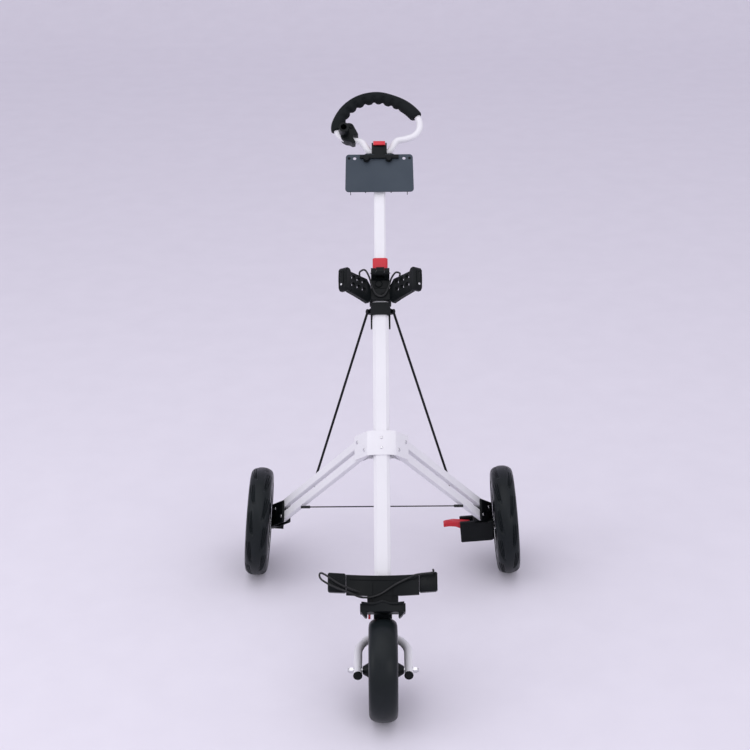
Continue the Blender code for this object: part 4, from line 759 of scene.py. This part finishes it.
# scorecard panel: pins and nubs under it, and a screw near each end of its top
low, high = reach("scorecard_panel")
face = low[1]
pins = []
for across in (-0.070, 0.067):
    path = on_tube([(across, face + 0.002, low[2] + t) for t in np.linspace(0.002, -0.008, 6)])
    pins.append(bar("pin", path, 0.0008, 10, ACROSS))
for across in (-0.034, 0.028):
    path = on_tube([(across, face + 0.002, low[2] + t) for t in np.linspace(0.002, -0.0025, 4)])
    pins.append(bar("nub", path, 0.0012, 10, ACROSS))
finish_piece(merged("panel_pins", pins), "upper_frame", "black_plastic")
screws = [dome(on_tube((across, face, high[2] - 0.010)), OFF_TUBE, 0.0034, 0.0014, 0.0012)
          for across in (-0.0735, 0.0735)]
finish_piece(merged("panel_screws", screws), "upper_frame", "black_plastic")

# the leg bracket's two screws
low, high = reach("leg_bracket_front")
screws = [dome(on_tube((0.0, -(TUBE_HALF + 0.0003 + PLATE), up)), OFF_TUBE, 0.0036, 0.0015, 0.0013)
          for up in (low[2] + 0.017, high[2] - 0.017)]
finish_piece(merged("bracket_screws", screws), "main_frame", "bright_steel")

# ---------------------------------------------------------------- floor, light and camera
CAMERA_BACK, CAMERA_HIGH = 3.403, 2.169
CAMERA_DOWN = math.radians(24.0)
CAMERA_ROLL = math.radians(-0.45)
LENS, SENSOR, SIDE_SHIFT = 77.02, 36.0, -0.008
FLOOR_FRONT, FLOOR_RUN, FLOOR_DROP = -6, 12, 0.0005
CURVE_RADIUS, WALL_RISE, BACKDROP_HALF = 2.5, 8, 12
FLOOR_SHARE, CURVE_SHARE = 0.45, 0.3      # of the backdrop's rows
SURROUND, SURROUND_STRENGTH = (0.86, 0.84, 0.92, 1.0), 0.95
LAMP_AIM = (0.0, 0.0, 0.5)
LAMPS = (("top", (-0.4, -0.6, 3.6), 3.2, 26.0), ("front", (1.9, -3.0, 2.6), 1.8, 15.0),
         ("left", (-2.8, -1.2, 2.0), 1.8, 15.0))       # name, place, size and power


def studio():
    """A pale floor that curves up into a backdrop by a quarter circle, three big soft lights and a
    bright surround."""
    t = np.linspace(0, 1, 40)
    bend = math.pi / 2 * np.clip((t - FLOOR_SHARE) / CURVE_SHARE, 0, 1)
    y = FLOOR_FRONT + FLOOR_RUN * np.clip(t / FLOOR_SHARE, 0, 1) + CURVE_RADIUS * np.sin(bend)
    z = CURVE_RADIUS * (1 - np.cos(bend)) + WALL_RISE * np.clip((t - 0.75) / 0.25, 0, 1)
    x = np.linspace(-BACKDROP_HALF, BACKDROP_HALF, 3)
    grid = np.stack(np.broadcast_arrays(x[None, :], y[:, None], z[:, None] - FLOOR_DROP), -1)
    faces, _ = quads(len(t), len(x), False, False)
    mesh = bpy.data.meshes.new("backdrop")
    mesh.from_pydata(grid.reshape(-1, 3).tolist(), [], faces.tolist())
    mesh.shade_smooth()
    floor = bpy.data.objects.new("backdrop", mesh)
    bpy.context.scene.collection.objects.link(floor)
    mesh.materials.append(worn("backdrop paper", (0.74, 0.715, 0.79), (0.76, 0.735, 0.81),
                               (0.75, 0.85), 300.0, 0.00002))
    floor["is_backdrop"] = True
    world = bpy.data.worlds.new("surround")
    bpy.context.scene.world = world
    world.use_nodes = True
    glow = world.node_tree.nodes["Background"]
    glow.inputs["Color"].default_value = SURROUND
    glow.inputs["Strength"].default_value = SURROUND_STRENGTH
    for name, place, size, power in LAMPS:
        light = bpy.data.lights.new(name, "AREA")
        light.size = size
        light.energy = power
        lamp = bpy.data.objects.new(name, light)
        bpy.context.scene.collection.objects.link(lamp)
        lamp.location = place
        aim = np.array(LAMP_AIM) - np.array(place)
        lamp.rotation_euler = Vector(aim).to_track_quat("-Z", "Y").to_euler()


def camera():
    """The view from in front and above, with the frame's centre a little left of the lens axis."""
    data = bpy.data.cameras.new("camera")
    data.lens = LENS
    data.sensor_width = SENSOR
    data.shift_x = SIDE_SHIFT
    eye = bpy.data.objects.new("camera", data)
    bpy.context.scene.collection.objects.link(eye)
    turn = Matrix.Rotation(math.pi / 2 - CAMERA_DOWN, 4, "X") @ Matrix.Rotation(CAMERA_ROLL, 4, "Z")
    eye.matrix_world = Matrix.Translation((0.0, -CAMERA_BACK, CAMERA_HIGH)) @ turn
    bpy.context.scene.camera = eye


studio()
camera()
bpy.context.scene.view_settings.view_transform = "Standard"

low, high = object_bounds()
